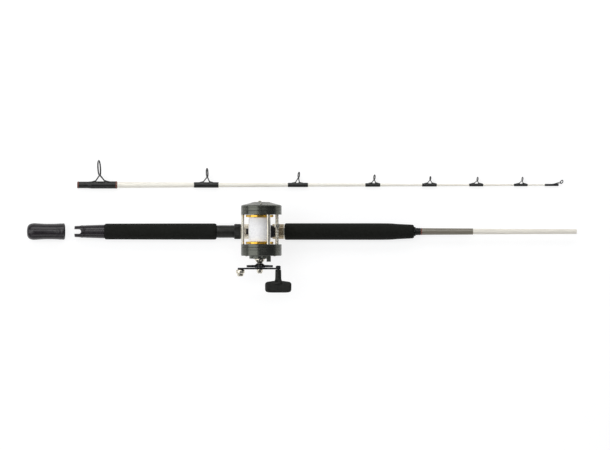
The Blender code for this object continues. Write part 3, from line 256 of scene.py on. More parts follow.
def combined(bm, tool, operation="DIFFERENCE"):
    """Cuts a tool's shape out of a mesh, or joins it on."""
    bmesh.ops.recalc_face_normals(bm, faces=bm.faces)
    bmesh.ops.recalc_face_normals(tool, faces=tool.faces)
    mesh = meshed("tool", tool)
    other = linked("tool", mesh)
    result = applied(bm, "BOOLEAN", operation=operation, solver="EXACT", object=other)
    bpy.data.objects.remove(other)
    bpy.data.meshes.remove(mesh)
    return result


def slab(outline, low, high, place):
    """A flat outline of (x, z) points, made thick along y from low to high."""
    bm = bmesh.new()
    face = bm.faces.new([bm.verts.new((x * MM, low * MM, z * MM)) for x, z in outline])
    raised = bmesh.ops.extrude_face_region(bm, geom=[face], use_keep_orig=True)["geom"]
    bmesh.ops.translate(bm, verts=[v for v in raised if isinstance(v, bmesh.types.BMVert)],
                        vec=(0, (high - low) * MM, 0))
    bmesh.ops.recalc_face_normals(bm, faces=bm.faces)
    return moved(bm, place)


def arc(radius, first, last, steps, middle=(0, 0)):
    """Points along an arc, in degrees, with both its ends."""
    turns = [math.radians(first + (last - first) * i / steps) for i in range(steps + 1)]
    return [(middle[0] + radius * math.cos(t), middle[1] + radius * math.sin(t)) for t in turns]


# Glass-filled nylon: near black like the cap but harder, so its highlights are narrower
nylon = finish("glass_filled_nylon", NYLON, NYLON_PALE, 0.5, 0.002, (0.24, 0.3), shine=0.5)
end, band = GIMBAL_END, GIMBAL_END + 0.6
outside = [(0, GIMBAL_BORE), (0, end - 0.9), (0.35, end - 0.3), (0.9, end), (BAND_FROM - 0.4, band)]
for ring in range(BAND_RINGS):
    outside += counted(BAND_FROM + ring * BAND_PITCH,
                       [(0, -BAND_DEPTH), (0.6, -BAND_DEPTH), (0.9, 0), (1.2, 0)], band)
outside += [(GIMBAL_LENGTH, GIMBAL_ROOT), (GIMBAL_LENGTH, GIMBAL_BACK_BORE),
            (GIMBAL_DEPTH, GIMBAL_BACK_BORE), (GIMBAL_DEPTH, GIMBAL_BORE)]
fitting = turned(outside, along("gimbal"), 96)
half = SLOT_WIDTH / 2
slot_line = [(-3, -half)] + arc(half, -90, 90, 10, (SLOT_DEPTH - half, 0)) + [(-3, half)]
for turn in (0, math.pi / 2):
    crossed = along("gimbal") @ Matrix.Rotation(turn, 4, "X")
    fitting = combined(fitting, slab(slot_line, -20, 20, crossed))
keep(softened(fitting, 0.35, 50), "gimbal_fitting", nylon, "root", "graphite", "gimbal", angle=35)


# Grips. Tubes of EVA foam, glued on the blank behind and in front of the reel.
# Bored, then ground to shape between centres, so the skin is matt black with fine open pores.
REAR_LENGTH, REAR_FIRST, REAR_LAST = 232.0, 16.4, 16.8
FORE_LENGTH, FORE_STRAIGHT, FORE_RADIUS, FORE_LAST = 268.0, 208.0, 17.2, 14.3
GRIP_BORE = 6.45
PORE, PORE_DEPTH = 0.8, 0.22      # real pores are half this size, and would not show
EVA_DARK, EVA_PALE = "#131410", "#181916"


def grip(name, length, line):
    """A foam tube with round ends, from (share of its length, radius) points."""
    first, last = line[0][1], line[-1][1]
    start = counted(0, [(0, -3.2), (0.25, -1.9), (1.0, -0.75), (2.2, -0.15), (4, 0)], first)
    stop = counted(length, [(-5, 0), (-2.6, -0.3), (-1.0, -1.3), (-0.2, -2.6), (0, -4.0)], last)
    outline = [(0, GRIP_BORE), *start, *smooth_line([(s * length, r) for s, r in line[1:-1]], 6),
               *stop, (length, GRIP_BORE)]
    tube = turned(outline, along(name), 96)
    piece = keep(tube, name + "_foam", eva, "root", "foam", name, angle=60)


eva = bpy.data.materials.new("ground_eva_foam")
eva.use_nodes = True
place = add(eva, "ShaderNodeTexCoord").outputs["Object"]
pores = add(eva, "ShaderNodeTexVoronoi", {"Vector": place, "Scale": 1 / (PORE * MM)}).outputs["Distance"]
patches = add(eva, "ShaderNodeTexNoise", {"Vector": place, "Scale": 1 / (6 * MM), "Detail": 5.0})
gloss = add(eva, "ShaderNodeMapRange", {"Value": pores, "To Min": 0.92, "To Max": 0.66})
relief = add(eva, "ShaderNodeBump", {"Height": pores, "Strength": 0.6, "Distance": PORE_DEPTH * MM})
shade(eva, {"Base Color": tinted(eva, patches.outputs["Fac"], EVA_DARK, EVA_PALE, 0.38, 0.66),
            "Roughness": gloss.outputs["Result"], "Normal": relief.outputs["Normal"],
            "Specular IOR Level": 0.15})
grip("rear_grip", REAR_LENGTH, ((0, REAR_FIRST), (0.04, REAR_FIRST), (0.35, REAR_FIRST + 0.2),
                                (0.7, REAR_LAST), (0.94, REAR_LAST), (1, REAR_LAST)))
grip("foregrip", FORE_LENGTH, ((0, FORE_RADIUS), (0.04, FORE_RADIUS), (0.4, FORE_RADIUS),
                               (FORE_STRAIGHT / FORE_LENGTH, FORE_RADIUS - 0.1), (0.87, FORE_LAST + 1.5),
                               (0.95, FORE_LAST + 0.5), (1, FORE_LAST)))


# Reel seat. The tube that the reel's foot lies on, with a coarse thread behind it for the nut.
# Moulded in graphite-filled nylon and glued on the blank: a dull black with a slight green cast.
SEAT_LENGTH, SEAT_RADIUS, SEAT_BORE = 140.4, 13.4, 6.45
THREAD_FROM, THREAD_TO, THREAD_PITCH, THREAD_DEPTH = 4.0, 74.0, 3.0, 0.5
SEAT_BLACK, SEAT_GREY = "#1a1b18", "#262723"
graphite = finish("graphite_nylon", SEAT_BLACK, SEAT_GREY, 0.6, 0.01, (0.3, 0.4), shine=0.3)
core = SEAT_RADIUS - THREAD_DEPTH
barrel = turned([(0, SEAT_BORE), (0, core - 0.4), (0.4, core), (THREAD_TO - 0.5, core),
                 (THREAD_TO, SEAT_RADIUS), (SEAT_LENGTH, SEAT_RADIUS), (SEAT_LENGTH, SEAT_BORE)],
                along("reel_seat"), 96)
keep(barrel, "reel_seat_barrel", graphite, "root", "seat", "reel_seat", angle=30)
turns = int((THREAD_TO - THREAD_FROM) / THREAD_PITCH)
STEPS_A_TURN = 72
thread = bmesh.new()
section = [thread.verts.new(Vector((x, 0, r)) * MM) for x, r in
           ((THREAD_FROM - 1.15, core - 0.3), (THREAD_FROM - 0.45, SEAT_RADIUS),
            (THREAD_FROM + 0.45, SEAT_RADIUS), (THREAD_FROM + 1.15, core - 0.3))]
loop = [thread.edges.new((section[i - 1], section[i])) for i in range(4)]
wound = bmesh.ops.spin(thread, geom=section + loop, cent=(0, 0, 0), axis=(1, 0, 0),
                       dvec=(THREAD_PITCH / STEPS_A_TURN * MM, 0, 0), angle=2 * math.pi * turns,
                       steps=STEPS_A_TURN * turns, use_merge=False)
for end in (loop, [e for e in wound["geom_last"] if isinstance(e, bmesh.types.BMEdge)]):
    bmesh.ops.edgeloop_fill(thread, edges=end)
keep(moved(thread, along("reel_seat")), "reel_seat_thread", graphite, "root", "seat", angle=30)


# Locking nut. A ring with a coarse knurl that screws along the thread and pushes the sliding hood.
# Moulded in the same filled nylon, with flats pressed between chamfered ends.
NUT_LENGTH, NUT_RADIUS, NUT_BORE, NUT_RIBS, NUT_RIB_DEPTH = 14.0, 15.7, 13.7, 40, 0.7
chamfer = [(0, NUT_BORE), *counted(0, [(0, -1.0), (0.5, -0.3), (1.4, 0), (1.8, 0)], NUT_RADIUS)]
nut = turned([*chamfer, *((NUT_LENGTH - x, r) for x, r in reversed(chamfer))], Matrix.Identity(4),
             NUT_RIBS * 5)
for v in nut.verts:
    radius = math.hypot(v.co.y, v.co.z)
    if radius > (NUT_RADIUS - 0.1) * MM and 1.5 * MM < v.co.x < (NUT_LENGTH - 1.5) * MM:
        wave = 0.5 - 0.5 * math.cos(NUT_RIBS * math.atan2(v.co.z, v.co.y))
        share = 1 - NUT_RIB_DEPTH * MM * min(1, 1.6 * wave) / radius
        v.co.y, v.co.z = v.co.y * share, v.co.z * share
keep(moved(nut, along("lock_nut")), "lock_nut_ring", graphite, "lock_nut", "seat", "lock_nut", angle=28)


# Hoods. Two sockets that hold the reel's foot: the rear one slides, the front one is fixed.
# Pressed from brass tube, each with a raised mouth and a rolled rim. The fixed one is plated a warm
# champagne, and the sliding one a paler cream, with a slot through its roof.
HOOD_RADIUS, HOOD_BORE, HOOD_SHOULDER, HOOD_TOP = 15.6, 13.7, 10.1, 18.2
HOOD_SIDE, HOOD_ROOF, HOOD_RIM = 8.3, 16.4, 2.2
SLOT_FROM, SLOT_TO, SLOT_LINE = 10.6, 6.2, ((-6.0, 15.0), (6.0, 15.0), (6.0, 19.5), (-6.0, 19.5))
CHAMPAGNE, CHAMPAGNE_PALE, PLATED = "#8f8068", "#a3957b", "#ded8c6"
champagne = finish("champagne_plate", CHAMPAGNE, CHAMPAGNE_PALE, 0.35, 0.004, (0.22, 0.3), metal=1.0)
cream_plate = finish("cream_plate", "#d8cfbd", "#e8e0d0", 0.35, 0.004, (0.2, 0.3), metal=0.85)
bright = finish("polished_nickel", "#cfcabd", PLATED, 0.3, 0.006, (0.12, 0.2), metal=1.0)


def hood(name, body, rim_first, skin):
    """A hood's shell with a rolled rim at one end, on its CAD node's length."""
    low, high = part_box(name)
    length = (high.x - low.x) / MM
    start = math.degrees(math.acos(HOOD_SHOULDER / HOOD_RADIUS))
    outer = arc(HOOD_RADIUS, 180 - start, 360 + start, 48)
    outer += arc(1.6, 20, 90, 4, (HOOD_SHOULDER - 2.6, HOOD_TOP - 1.6))
    outer += arc(1.6, 90, 160, 4, (2.6 - HOOD_SHOULDER, HOOD_TOP - 1.6))
    start = math.degrees(math.acos(HOOD_SIDE / HOOD_BORE))
    inner = arc(HOOD_BORE, 180 - start, 360 + start, 40) + [(HOOD_SIDE, HOOD_ROOF), (-HOOD_SIDE, HOOD_ROOF)]
    place = along(name) @ Matrix.Rotation(-math.pi / 2, 4, "Z")
    cut = HOOD_RIM if rim_first else length - HOOD_RIM
    shell, rim = ((cut, length), (0, cut)) if rim_first else ((0, cut), (cut, length))
    for part, ends, nodes, coat in (("shell", shell, (name,), skin), ("rim", rim, (), bright)):
        tube = softened(slab(outer, *ends, place), 0.5, 40, 3)
        tube = combined(tube, slab(inner, -1, length + 1, place))
        if part == "shell" and rim_first:
            tube = combined(tube, slab(SLOT_LINE, length - SLOT_FROM, length - SLOT_TO, place))
        keep(tube, name + "_" + part, coat, body, "champagne_metal", *nodes, angle=30)


hood("rear_hood", "rear_hood", True, cream_plate)
hood("front_hood", "root", False, champagne)


# Winding check, trim ring and handle sleeve. They finish the front of the foregrip.
# A turned black collar, a ring of red-brown thread, and a taupe lacquered sleeve under clear epoxy.
CHECK_LENGTH, CHECK_RADIUS, TRIM_LENGTH, TRIM_RADIUS = 13.7, 7.6, 2.4, 7.5
SLEEVE_LENGTH, SLEEVE_START, SLEEVE_END, COLLAR_BORE = 105.0, 7.2, 6.6, 6.45
SLEEVE_BORE = 6.15
THREAD_WIDTH = 0.6      # a real size A thread is 0.15 mm wide, and would not show


def wrapped(name, dark, pale, width, coat=0.35, rough=(0.3, 0.42)):
    """Thread wound on the rod and sealed under clear epoxy: fine ribs along x, and a glossy coat."""
    material = finish(name, dark, pale, 0.8, 0.01, rough, coat=coat, shine=0.25)
    before = material.node_tree.nodes["Principled BSDF"].inputs["Base Color"].links[0].from_socket
    place = add(material, "ShaderNodeTexCoord").outputs["Object"]
    ribs = add(material, "ShaderNodeTexWave", {"Vector": place, "Scale": 1 / (width * MM) / 3.1831,
                                               "Distortion": 0.4, "Detail": 1.0},
               bands_direction="X").outputs["Fac"]
    dimmed = add(material, "ShaderNodeMapRange", {"Value": ribs, "To Min": 0.72, "To Max": 1.0})
    mixed = add(material, "ShaderNodeMix", {"Factor": 1.0, "A": before, "B": dimmed.outputs["Result"]},
                data_type="RGBA", blend_type="MULTIPLY")
    relief = add(material, "ShaderNodeBump", {"Height": ribs, "Strength": 0.4, "Distance": 0.06 * MM})
    shade(material, {"Base Color": mixed.outputs["Result"], "Normal": relief.outputs["Normal"]})
    return material


lacquer = finish("taupe_lacquer", "#6d6757", "#7e7767", 1.2, 0.01, (0.26, 0.36), coat=0.8,
                 stretch=(0.15, 1, 1))
black_collar = finish("black_anodised_collar", "#111210", "#1d1e1b", 0.4, 0.01, (0.3, 0.4), metal=0.6)
red_thread = wrapped("red_brown_thread", "#6b3a2c", "#844a39", THREAD_WIDTH)
collar = counted(0, [(0, 1.6), (0.5, 2.1), (2.0, 2.1), (2.6, 1.5), (3.2, 0.2), (4.0, 0), (8.2, -0.05),
                     (8.5, -0.4), (9.1, -0.4), (9.4, -0.1), (CHECK_LENGTH - 0.7, -0.2), (CHECK_LENGTH, -0.8)],
                 CHECK_RADIUS)
collar = turned([(0, COLLAR_BORE), *collar, (CHECK_LENGTH, COLLAR_BORE)], along("winding_check"))
keep(softened(collar, 0.12), "winding_check_collar", black_collar, "root", "black_metal", "winding_check")
ring = counted(0, [(0, -0.5), (0.6, -0.1), (1.2, 0), (1.8, -0.1), (TRIM_LENGTH, -0.5)], TRIM_RADIUS)
keep(turned([(0, COLLAR_BORE), *ring, (TRIM_LENGTH, COLLAR_BORE)], along("trim_ring")), "trim_ring_wrap",
     red_thread, "root", "trim", "trim_ring")
sleeve = [(0, COLLAR_BORE), (0, SLEEVE_START - 0.35), (0.5, SLEEVE_START),
          *counted(SLEEVE_LENGTH, [(-1.2, 0), (-0.3, -0.1), (0, -0.3)], SLEEVE_END),
          (SLEEVE_LENGTH, SLEEVE_BORE)]
keep(turned(sleeve, along("blank_sleeve")), "handle_sleeve", lacquer, "root", "sleeve", "blank_sleeve")


# Handle blank. A tapered tube of rolled glass cloth that runs through the whole handle.
# Its tip is the spigot that plugs into the tip section. Cream enamel with a thin clear coat.
BLANK_LENGTH, BLANK_HANDLE, BLANK_TAPER_END, BLANK_TIP, BLANK_WALL = 1000.0, 6.3, 6.1, 5.0, 1.5
TAPER_FROM, TAPER = 625.4, 116.0     # from the blank's own low end
cream = finish("cream_enamel", "#ebe6da", "#efeade", 2.5, 0.008, (0.38, 0.46), coat=0.1, shine=0.25)
taper_end = TAPER_FROM + TAPER
inside = BLANK_HANDLE - BLANK_WALL
handle_blank = turned(
    [(BLANK_LENGTH - 6, 0), (BLANK_LENGTH - 6, BLANK_TIP - BLANK_WALL),
     (taper_end, BLANK_TAPER_END - BLANK_WALL), (TAPER_FROM, inside), (0, inside), (0, BLANK_HANDLE),
     (TAPER_FROM, BLANK_HANDLE), (taper_end, BLANK_TAPER_END),
     *counted(BLANK_LENGTH, [(-1.0, 0), (-0.35, -0.2), (0, -0.8)], BLANK_TIP), (BLANK_LENGTH, 0)],
    along("butt_blank"), 64)
keep(handle_blank, "handle_blank", cream, "root", "blank", "butt_blank")


# Side plates of the reel's frame. Two discs that carry the spool's shaft, the pillars and the worm.
# Turned from aluminium bar and anodised gunmetal, with a recess that each spool flange runs in.
PLATE_RADIUS, FRAME_HALF, LEFT_PLATE, RIGHT_PLATE = 41.7, 30.5, 7.4, 5.5
PLATE_OFFSET, SHAFT_HOLE, RIGHT_HOLE, WORM_HOLE, CRANK_HOLE = 3.5, 4.5, 6.2, 3.7, 3.4
RECESS_RADIUS, RECESS_DEPTH = 29.4, 0.7
BAR_DROP = 8.5      # the guide bar's depth under the worm
GUNMETAL, GUNMETAL_PALE = "#545650", "#5c5e57"
ACROSS = Matrix.Rotation(math.pi / 2, 4, "Z")        # turns a turned piece's axis to +y
spool_axis = centre("spool")
crank_axis = Vector((spool_axis.x, spool_axis.y, centre("bearing_sleeve").z))
worm_axis = Vector((centre("guide_bar").x, spool_axis.y, centre("guide_bar").z + BAR_DROP * MM))
plate_axis = spool_axis + Vector((PLATE_OFFSET * MM, 0, 0))
gunmetal = finish("gunmetal_anodised", GUNMETAL, GUNMETAL_PALE, 0.3, 0.008, (0.22, 0.3), metal=0.95)


def reel_place(axis):
    """The frame of a piece turned about an axis of the reel: along runs towards the palm side."""
    return Matrix.Translation(axis) @ ACROSS


def pin(axis, low, high, radius, sides=40):
    """A plain cylinder on an axis of the reel."""
    return turned([(low, 0), (low, radius), (high, radius), (high, 0)], reel_place(axis), sides)


for name, low, high, hole, outward in (
        ("left_frame_plate", FRAME_HALF, FRAME_HALF + LEFT_PLATE, SHAFT_HOLE, 1),
        ("right_frame_plate", -FRAME_HALF - RIGHT_PLATE, -FRAME_HALF, RIGHT_HOLE, -1)):
    rim = counted(0, [(low, -0.1), (low + 0.05, 0), (high - 0.05, 0), (high, -0.1)], PLATE_RADIUS)
    disc = softened(turned([(low, 0), *rim, (high, 0)], reel_place(plate_axis), 128), 0.7, 40, 3)
    face = low if outward > 0 else high
    recess = counted(face, [(-3 * outward, 0), (-3 * outward, RECESS_RADIUS),
                            (RECESS_DEPTH * outward, RECESS_RADIUS), (RECESS_DEPTH * outward, 0)])
    disc = combined(disc, turned(recess, reel_place(spool_axis), 96))
    disc = combined(disc, pin(spool_axis, low - 5, high + 5, hole))
    disc = combined(disc, pin(worm_axis, low - 5, high + 5, WORM_HOLE, 24))
    if name == "right_frame_plate":
        disc = combined(disc, pin(crank_axis, low - 5, high + 5, CRANK_HOLE, 24))
    keep(disc, name + "_disc", gunmetal, "root", "gunmetal", name, angle=30)


# Pillars and guide bar. Rods that hold the two plates apart, and the bar the line guide runs on.
# Bright-turned stainless steel. A pillar has a shoulder at each end, where a screw draws it tight.
steel = finish("turned_stainless", "#bdb8aa", "#ddd8ca", 0.25, 0.006, (0.14, 0.24), metal=1.0,
               stretch=(1, 0.2, 1))
for name, shoulder in (("rear_pillar", 0.5), ("top_pillar", 0.6), ("guide_bar", 0.0)):
    low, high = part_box(name)
    radius = (high.z - low.z) / 2 / MM
    end = [(0, 0), (0, radius), (2.6, radius), (3.0, radius - shoulder)]
    rod = counted(-FRAME_HALF, end) + [(FRAME_HALF - y, r) for y, r in reversed(end)]
    axis = Vector((centre(name).x, spool_axis.y, centre(name).z))
    keep(softened(turned(rod, reel_place(axis), 40), 0.15), name + "_rod", steel, "root", "bright_metal",
         name, angle=30)


# Reel foot. A leg that lies along the seat under the hoods, with a bridge that joins the plates.
# Cast in zinc in one piece and enamelled black, so its inside corners are rounded.
LEG_LENGTH, LEG_WIDTH, LEG_THICK, CAST_GRAIN = 74.0, 16.0, 2.4, 0.55
PEDESTAL_BACK, PEDESTAL_FRONT, BRIDGE_BACK, BRIDGE_FRONT, BRIDGE_THICK = 15.0, 17.0, 12.0, 15.0, 4.0
# The tongue runs forward from the bridge over the front hood. Its heights are from the rod's axis.
TONGUE_FROM, TONGUE_TO, TONGUE_HALF, TONGUE_LOW, TONGUE_HIGH = 13.0, 31.0, 11.5, 18.7, 21.3
black_enamel = finish("black_enamel", "#232427", "#303134", 0.4, 0.012, (0.24, 0.34), metal=0.75)


def block(low, high):
    """A box between two corners in metres."""
    bm = bmesh.new()
    bmesh.ops.create_cube(bm, size=1, matrix=Matrix.Translation((low + high) / 2)
                          @ Matrix.Diagonal((*(high - low), 1)))
    return bm


def together(parts, place=None):
    """Several shapes as one mesh, moved to its place."""
    whole = bmesh.new()
    for part in parts:
        mesh = meshed("part", part)
        whole.from_mesh(mesh)
        bpy.data.meshes.remove(mesh)
    return moved(whole, place) if place else whole


def cast(parts, grain, passes=3):
    """Overlapping shapes run together as one casting, with soft inside corners."""
    for part in parts:
        bmesh.ops.recalc_face_normals(part, faces=part.faces)
    whole = applied(together(parts), "REMESH", mode="VOXEL", voxel_size=grain * MM)
    for _ in range(passes):
        bmesh.ops.smooth_vert(whole, verts=whole.verts, factor=0.5, use_axis_x=True, use_axis_y=True,
                              use_axis_z=True)
    return whole


low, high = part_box("reel_foot")
rod_axis = centre("foregrip")
leg_top = low.z + LEG_THICK * MM
middle = spool_axis.x
leg_right, leg_left = rod_axis.y - LEG_WIDTH / 2 * MM, rod_axis.y + LEG_WIDTH / 2 * MM
leg = block(Vector((low.x, leg_right, low.z)), Vector((low.x + LEG_LENGTH * MM, leg_left, leg_top)))
pedestal = block(Vector((middle - PEDESTAL_BACK * MM, leg_right, low.z + 0.4 * MM)),
                 Vector((middle + PEDESTAL_FRONT * MM, leg_left, low.z + 5 * MM)))
bridge = block(Vector((middle - BRIDGE_BACK * MM, low.y, leg_top + 0.6 * MM)),
               Vector((middle + BRIDGE_FRONT * MM, high.y, leg_top + (0.6 + BRIDGE_THICK) * MM)))
over_hood = Vector((middle, rod_axis.y, rod_axis.z))
tongue = block(over_hood + Vector((TONGUE_FROM, -TONGUE_HALF, TONGUE_LOW)) * MM,
               over_hood + Vector((TONGUE_TO, TONGUE_HALF, TONGUE_HIGH)) * MM)
keep(cast([leg, pedestal, bridge, tongue], CAST_GRAIN, 2), "reel_foot_casting", black_enamel, "root",
     "black_metal", "reel_foot", angle=60)


# Spool. The drum that holds the line, with two wide flanges that show as gold rings at the plates.
# Turned from aluminium bar and anodised gold, polished on the rims.
SPOOL_HALF, SPOOL_RADIUS, SPOOL_ARBOR, FLANGE, SPOOL_BORE = 29.9, 28.5, 9.0, 5.0, 2.55
LINE_RADIUS = 22.8
gold = finish("gold_anodised", "#e3b545", "#f0c95c", 0.3, 0.006, (0.14, 0.2), metal=1.0)
inner = SPOOL_HALF - FLANGE
half_line = [(inner + 1.6, SPOOL_ARBOR + 0.4), (inner + 0.1, LINE_RADIUS - 2), (inner, LINE_RADIUS + 1.4),
             *counted(inner, [(0.15, -1.6), (0.5, -0.6), (1.2, 0), (2.6, 0), (3.0, -0.35), (3.4, 0)],
                      SPOOL_RADIUS),
             *counted(SPOOL_HALF, [(-0.6, 0), (0, -0.6), (0, -3.5)], SPOOL_RADIUS),
             (SPOOL_HALF - 1.6, 11.0), (SPOOL_HALF, 8.5), (SPOOL_HALF, SPOOL_BORE)]
drum = turned([(-y, r) for y, r in reversed(half_line)] + half_line, reel_place(spool_axis), 128)
keep(drum, "spool_drum", gold, "spool", "gold_metal", "spool", angle=30)


# Line. Clear-grey nylon monofilament, wound in level layers almost to the rims by the line guide.
# Each turn lies beside the last, so the winding is ribbed round the spool with a glint on each turn.
LINE_PITCH, LINE_DEPTH, LINE_STEPS = 1.0, 0.26, 6      # real line is 0.45 mm wide, and would not show
LINE_FALL, FALL_REACH = 0.9, 4.0      # the winding thins by this much over this far from each flange
line_nylon = finish("grey_monofilament", "#ededee", "#f0f0f0", 0.3, 0.01, (0.22, 0.34), coat=0.3)
# Painted glow: the faint emission brightens the whole winding evenly, standing in for light that comes
# through the nylon
shade(line_nylon, {"Emission Color": (1, 1, 1, 1), "Emission Strength": 0.09, "Subsurface Weight": 0.15,
                   "Subsurface Radius": (0.6 * MM, 0.6 * MM, 0.6 * MM)})
reach = inner - 0.3
count = int(2 * reach / LINE_PITCH) * LINE_STEPS
wound = []
for i in range(count + 1):
    y = -reach + 2 * reach * i / count
    wave = math.sqrt(max(0.0, 1 - (2 * ((i / LINE_STEPS) % 1) - 1) ** 2))
    full = min(1, (reach - abs(y)) / FALL_REACH)
    wound.append((y, LINE_RADIUS - LINE_FALL * (1 - full) - LINE_DEPTH * (1 - wave)))
arbor = SPOOL_ARBOR + 0.75
pack = turned([(-reach, arbor), *wound, (reach, arbor)], reel_place(spool_axis), 96)
keep(pack, "line_winding", line_nylon, "spool", "line", "line_pack", angle=80)


# Level-wind worm. The shaft with crossed grooves that carries the line guide from side to side.
# Hard stainless steel, with a right-hand and a left-hand groove milled over each other.
WORM_RADIUS, WORM_PITCH, WORM_GROOVE, WORM_REACH, WORM_STEP = 3.4, 6.0, 0.35, 29.0, 0.25
WORM_END, WHEEL_FROM, WHEEL_TO, WHEEL_ROOT, WHEEL_TIP, WHEEL_TEETH = 38.4, 38.5, 41.3, 4.4, 6.1, 12
worm_place = Matrix.Translation(worm_axis)
start = -(spool_axis.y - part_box("worm_shaft")[0].y) / MM
shaft = [(start, 0), (start, WORM_RADIUS)]
shaft += [(-WORM_REACH + i * WORM_STEP, WORM_RADIUS) for i in range(int(2 * WORM_REACH / WORM_STEP) + 1)]
worm = turned([*shaft, (WORM_END, WORM_RADIUS), (WORM_END, 0)], Matrix.Identity(4), 96)
for v in worm.verts:
    y, turn = v.co.x / MM, math.atan2(v.co.z, v.co.y) / (2 * math.pi)
    if abs(y) < WORM_REACH and math.hypot(v.co.y, v.co.z) > 1 * MM:
        groove = max(math.cos(math.pi * (y / WORM_PITCH - hand * turn)) ** 12 for hand in (-1, 1))
        fade = min(1, (WORM_REACH - abs(y)) / 2)
        share = 1 - WORM_GROOVE * groove * fade / WORM_RADIUS
        v.co.y, v.co.z = v.co.y * share, v.co.z * share
wheel = []
for tooth in range(WHEEL_TEETH):
    for radius, turn in ((WHEEL_ROOT, -0.24), (WHEEL_TIP, -0.09), (WHEEL_TIP, 0.09), (WHEEL_ROOT, 0.24)):
        angle = 2 * math.pi * (tooth + turn) / WHEEL_TEETH
        wheel.append((radius * math.cos(angle), radius * math.sin(angle)))
worm = combined(moved(worm, reel_place(worm_axis)), slab(wheel, WHEEL_FROM, WHEEL_TO, worm_place), "UNION")
keep(worm, "worm_spindle", steel, "worm", "bright_metal", "worm_shaft", angle=50)


# Line guide. The carriage that rides on the worm and the bar and lays the line level.
# Die-cast, nickel plated, with a tall eye that the line runs through.
EYE_HALF, EYE_LOW, EYE_HIGH, CARRIAGE, BAR_BORE = 1.9, 5.6, 13.2, 8.0, 1.5
side = (centre("line_guide").y - spool_axis.y) / MM
right = [(3.4, -11.3), (5.6, -3), (5.6, 3), (5.2, 6.6), (5.2, 13.6), (3.4, 15.2)]
outline = [(-3.4, -11.3), *right, *((-x, z) for x, z in reversed(right[1:]))]
carriage = softened(slab(outline, side - CARRIAGE / 2, side + CARRIAGE / 2, worm_place), 0.6, 20)
eye = arc(EYE_HALF, 180, 360, 10, (0, EYE_LOW + EYE_HALF))
eye += arc(EYE_HALF, 0, 180, 10, (0, EYE_HIGH - EYE_HALF))
carriage = combined(carriage, slab(eye, side - 6, side + 6, worm_place))
for axis, radius, sides in ((worm_axis, WORM_RADIUS + 0.3, 32),
                            (worm_axis - Vector((0, 0, BAR_DROP * MM)), BAR_BORE, 24)):
    carriage = combined(carriage, pin(axis, side - 6, side + 6, radius, sides))
keep(softened(carriage, 0.15, 60), "line_guide_carriage", bright, "line_guide", "bright_metal", "line_guide",
     angle=35)


# Palm-side cover. The cup over the winding gears, whose low dome sits in the palm.
# Pressed aluminium, anodised gunmetal, with a fine groove at its rim and three screws in its face.
COVER_RIM, DOME = 10.4, 7.8
SCREW_CIRCLE, PALM_CIRCLE, SCREW_RADIUS, SCREW_RISE, DRIVER_WIDTH = 33.5, 30.5, 2.3, 0.9, 0.7
start = FRAME_HALF + LEFT_PLATE + 0.3
rim, top = start + COVER_RIM, start + COVER_RIM + DOME
edge = PLATE_RADIUS
cup = [(top - 2.2, 0), (top - 2.2, 12.0), (top - 4.6, edge - 14.2), (rim - 0.5, edge - 2.2),
       *counted(start, [(0, -2.2), (0, -0.5), (0.5, 0)], edge),
       *counted(rim, [(-3.6, 0), (-3.3, -0.4), (-2.9, -0.4), (-2.6, 0), (-0.4, 0), (0, -0.3), (0.9, -1.3)],
                edge)]
dome = [(rim + 1.4, edge - 2.2), *counted(top, [(-3.4, 27.5), (-0.9, 19.0), (-0.3, 17.2), (-0.05, 14.5)])]
cup += [*smooth_line(dome), (top, 0)]
cover = turned(cup, reel_place(plate_axis), 128)
slot_low = Vector((-2.2, top - 8, -20)) * MM + spool_axis
slot_high = Vector((2.2, top + 3, -11)) * MM + spool_axis
cover = combined(cover, softened(block(slot_low, slot_high), 0.8))
keep(cover, "palm_cover", gunmetal, "root", "gunmetal", "left_cover", angle=32)


def screws(name, face, outward, circle, angles):
    """Slotted cheese-head screws in a cover's face, on a circle about the middle of the plates."""
    low, high = min(face - 0.3, face + outward), max(face + 0.3, face + outward)
    heads = []
    for angle in angles:
        turn = math.radians(angle)
        axis = plate_axis + Vector((circle * math.cos(turn), 0, circle * math.sin(turn))) * MM
        head = softened(pin(axis, low, high, SCREW_RADIUS, 32), 0.3)
        groove = block(Vector((-4, -0.5, -DRIVER_WIDTH / 2)) * MM, Vector((4, 0.5, DRIVER_WIDTH / 2)) * MM)
        crown = Matrix.Translation(axis + Vector((0, (face + outward) * MM, 0)))
        heads.append(combined(head, moved(groove, crown @ Matrix.Rotation(turn, 4, "Y"))))
    keep(together(heads), name, steel, "root", "bright_metal", angle=30)


screws("palm_cover_screws", top - 4.2, SCREW_RISE, PALM_CIRCLE, (90, 210, 330))


# Click button. The slide in the palm-side cover that puts the line-out clicker on and off.
# Turned nickel-plated brass with a domed top and a thin waist that rides in the cover's slot.
button = counted(top, [(-9.0, 0), (-9.0, 1.7), (0.5, 1.7), (0.5, 3.7), (0.8, 3.9), (1.5, 3.9), (2.2, 3.4),
                       (2.6, 2.2), (2.6, 0)])
button_axis = Vector((spool_axis.x, spool_axis.y, centre("click_button").z))
keep(turned(button, reel_place(button_axis), 40), "click_slide_button", bright, "click_button",
     "bright_metal", "click_button", angle=35)


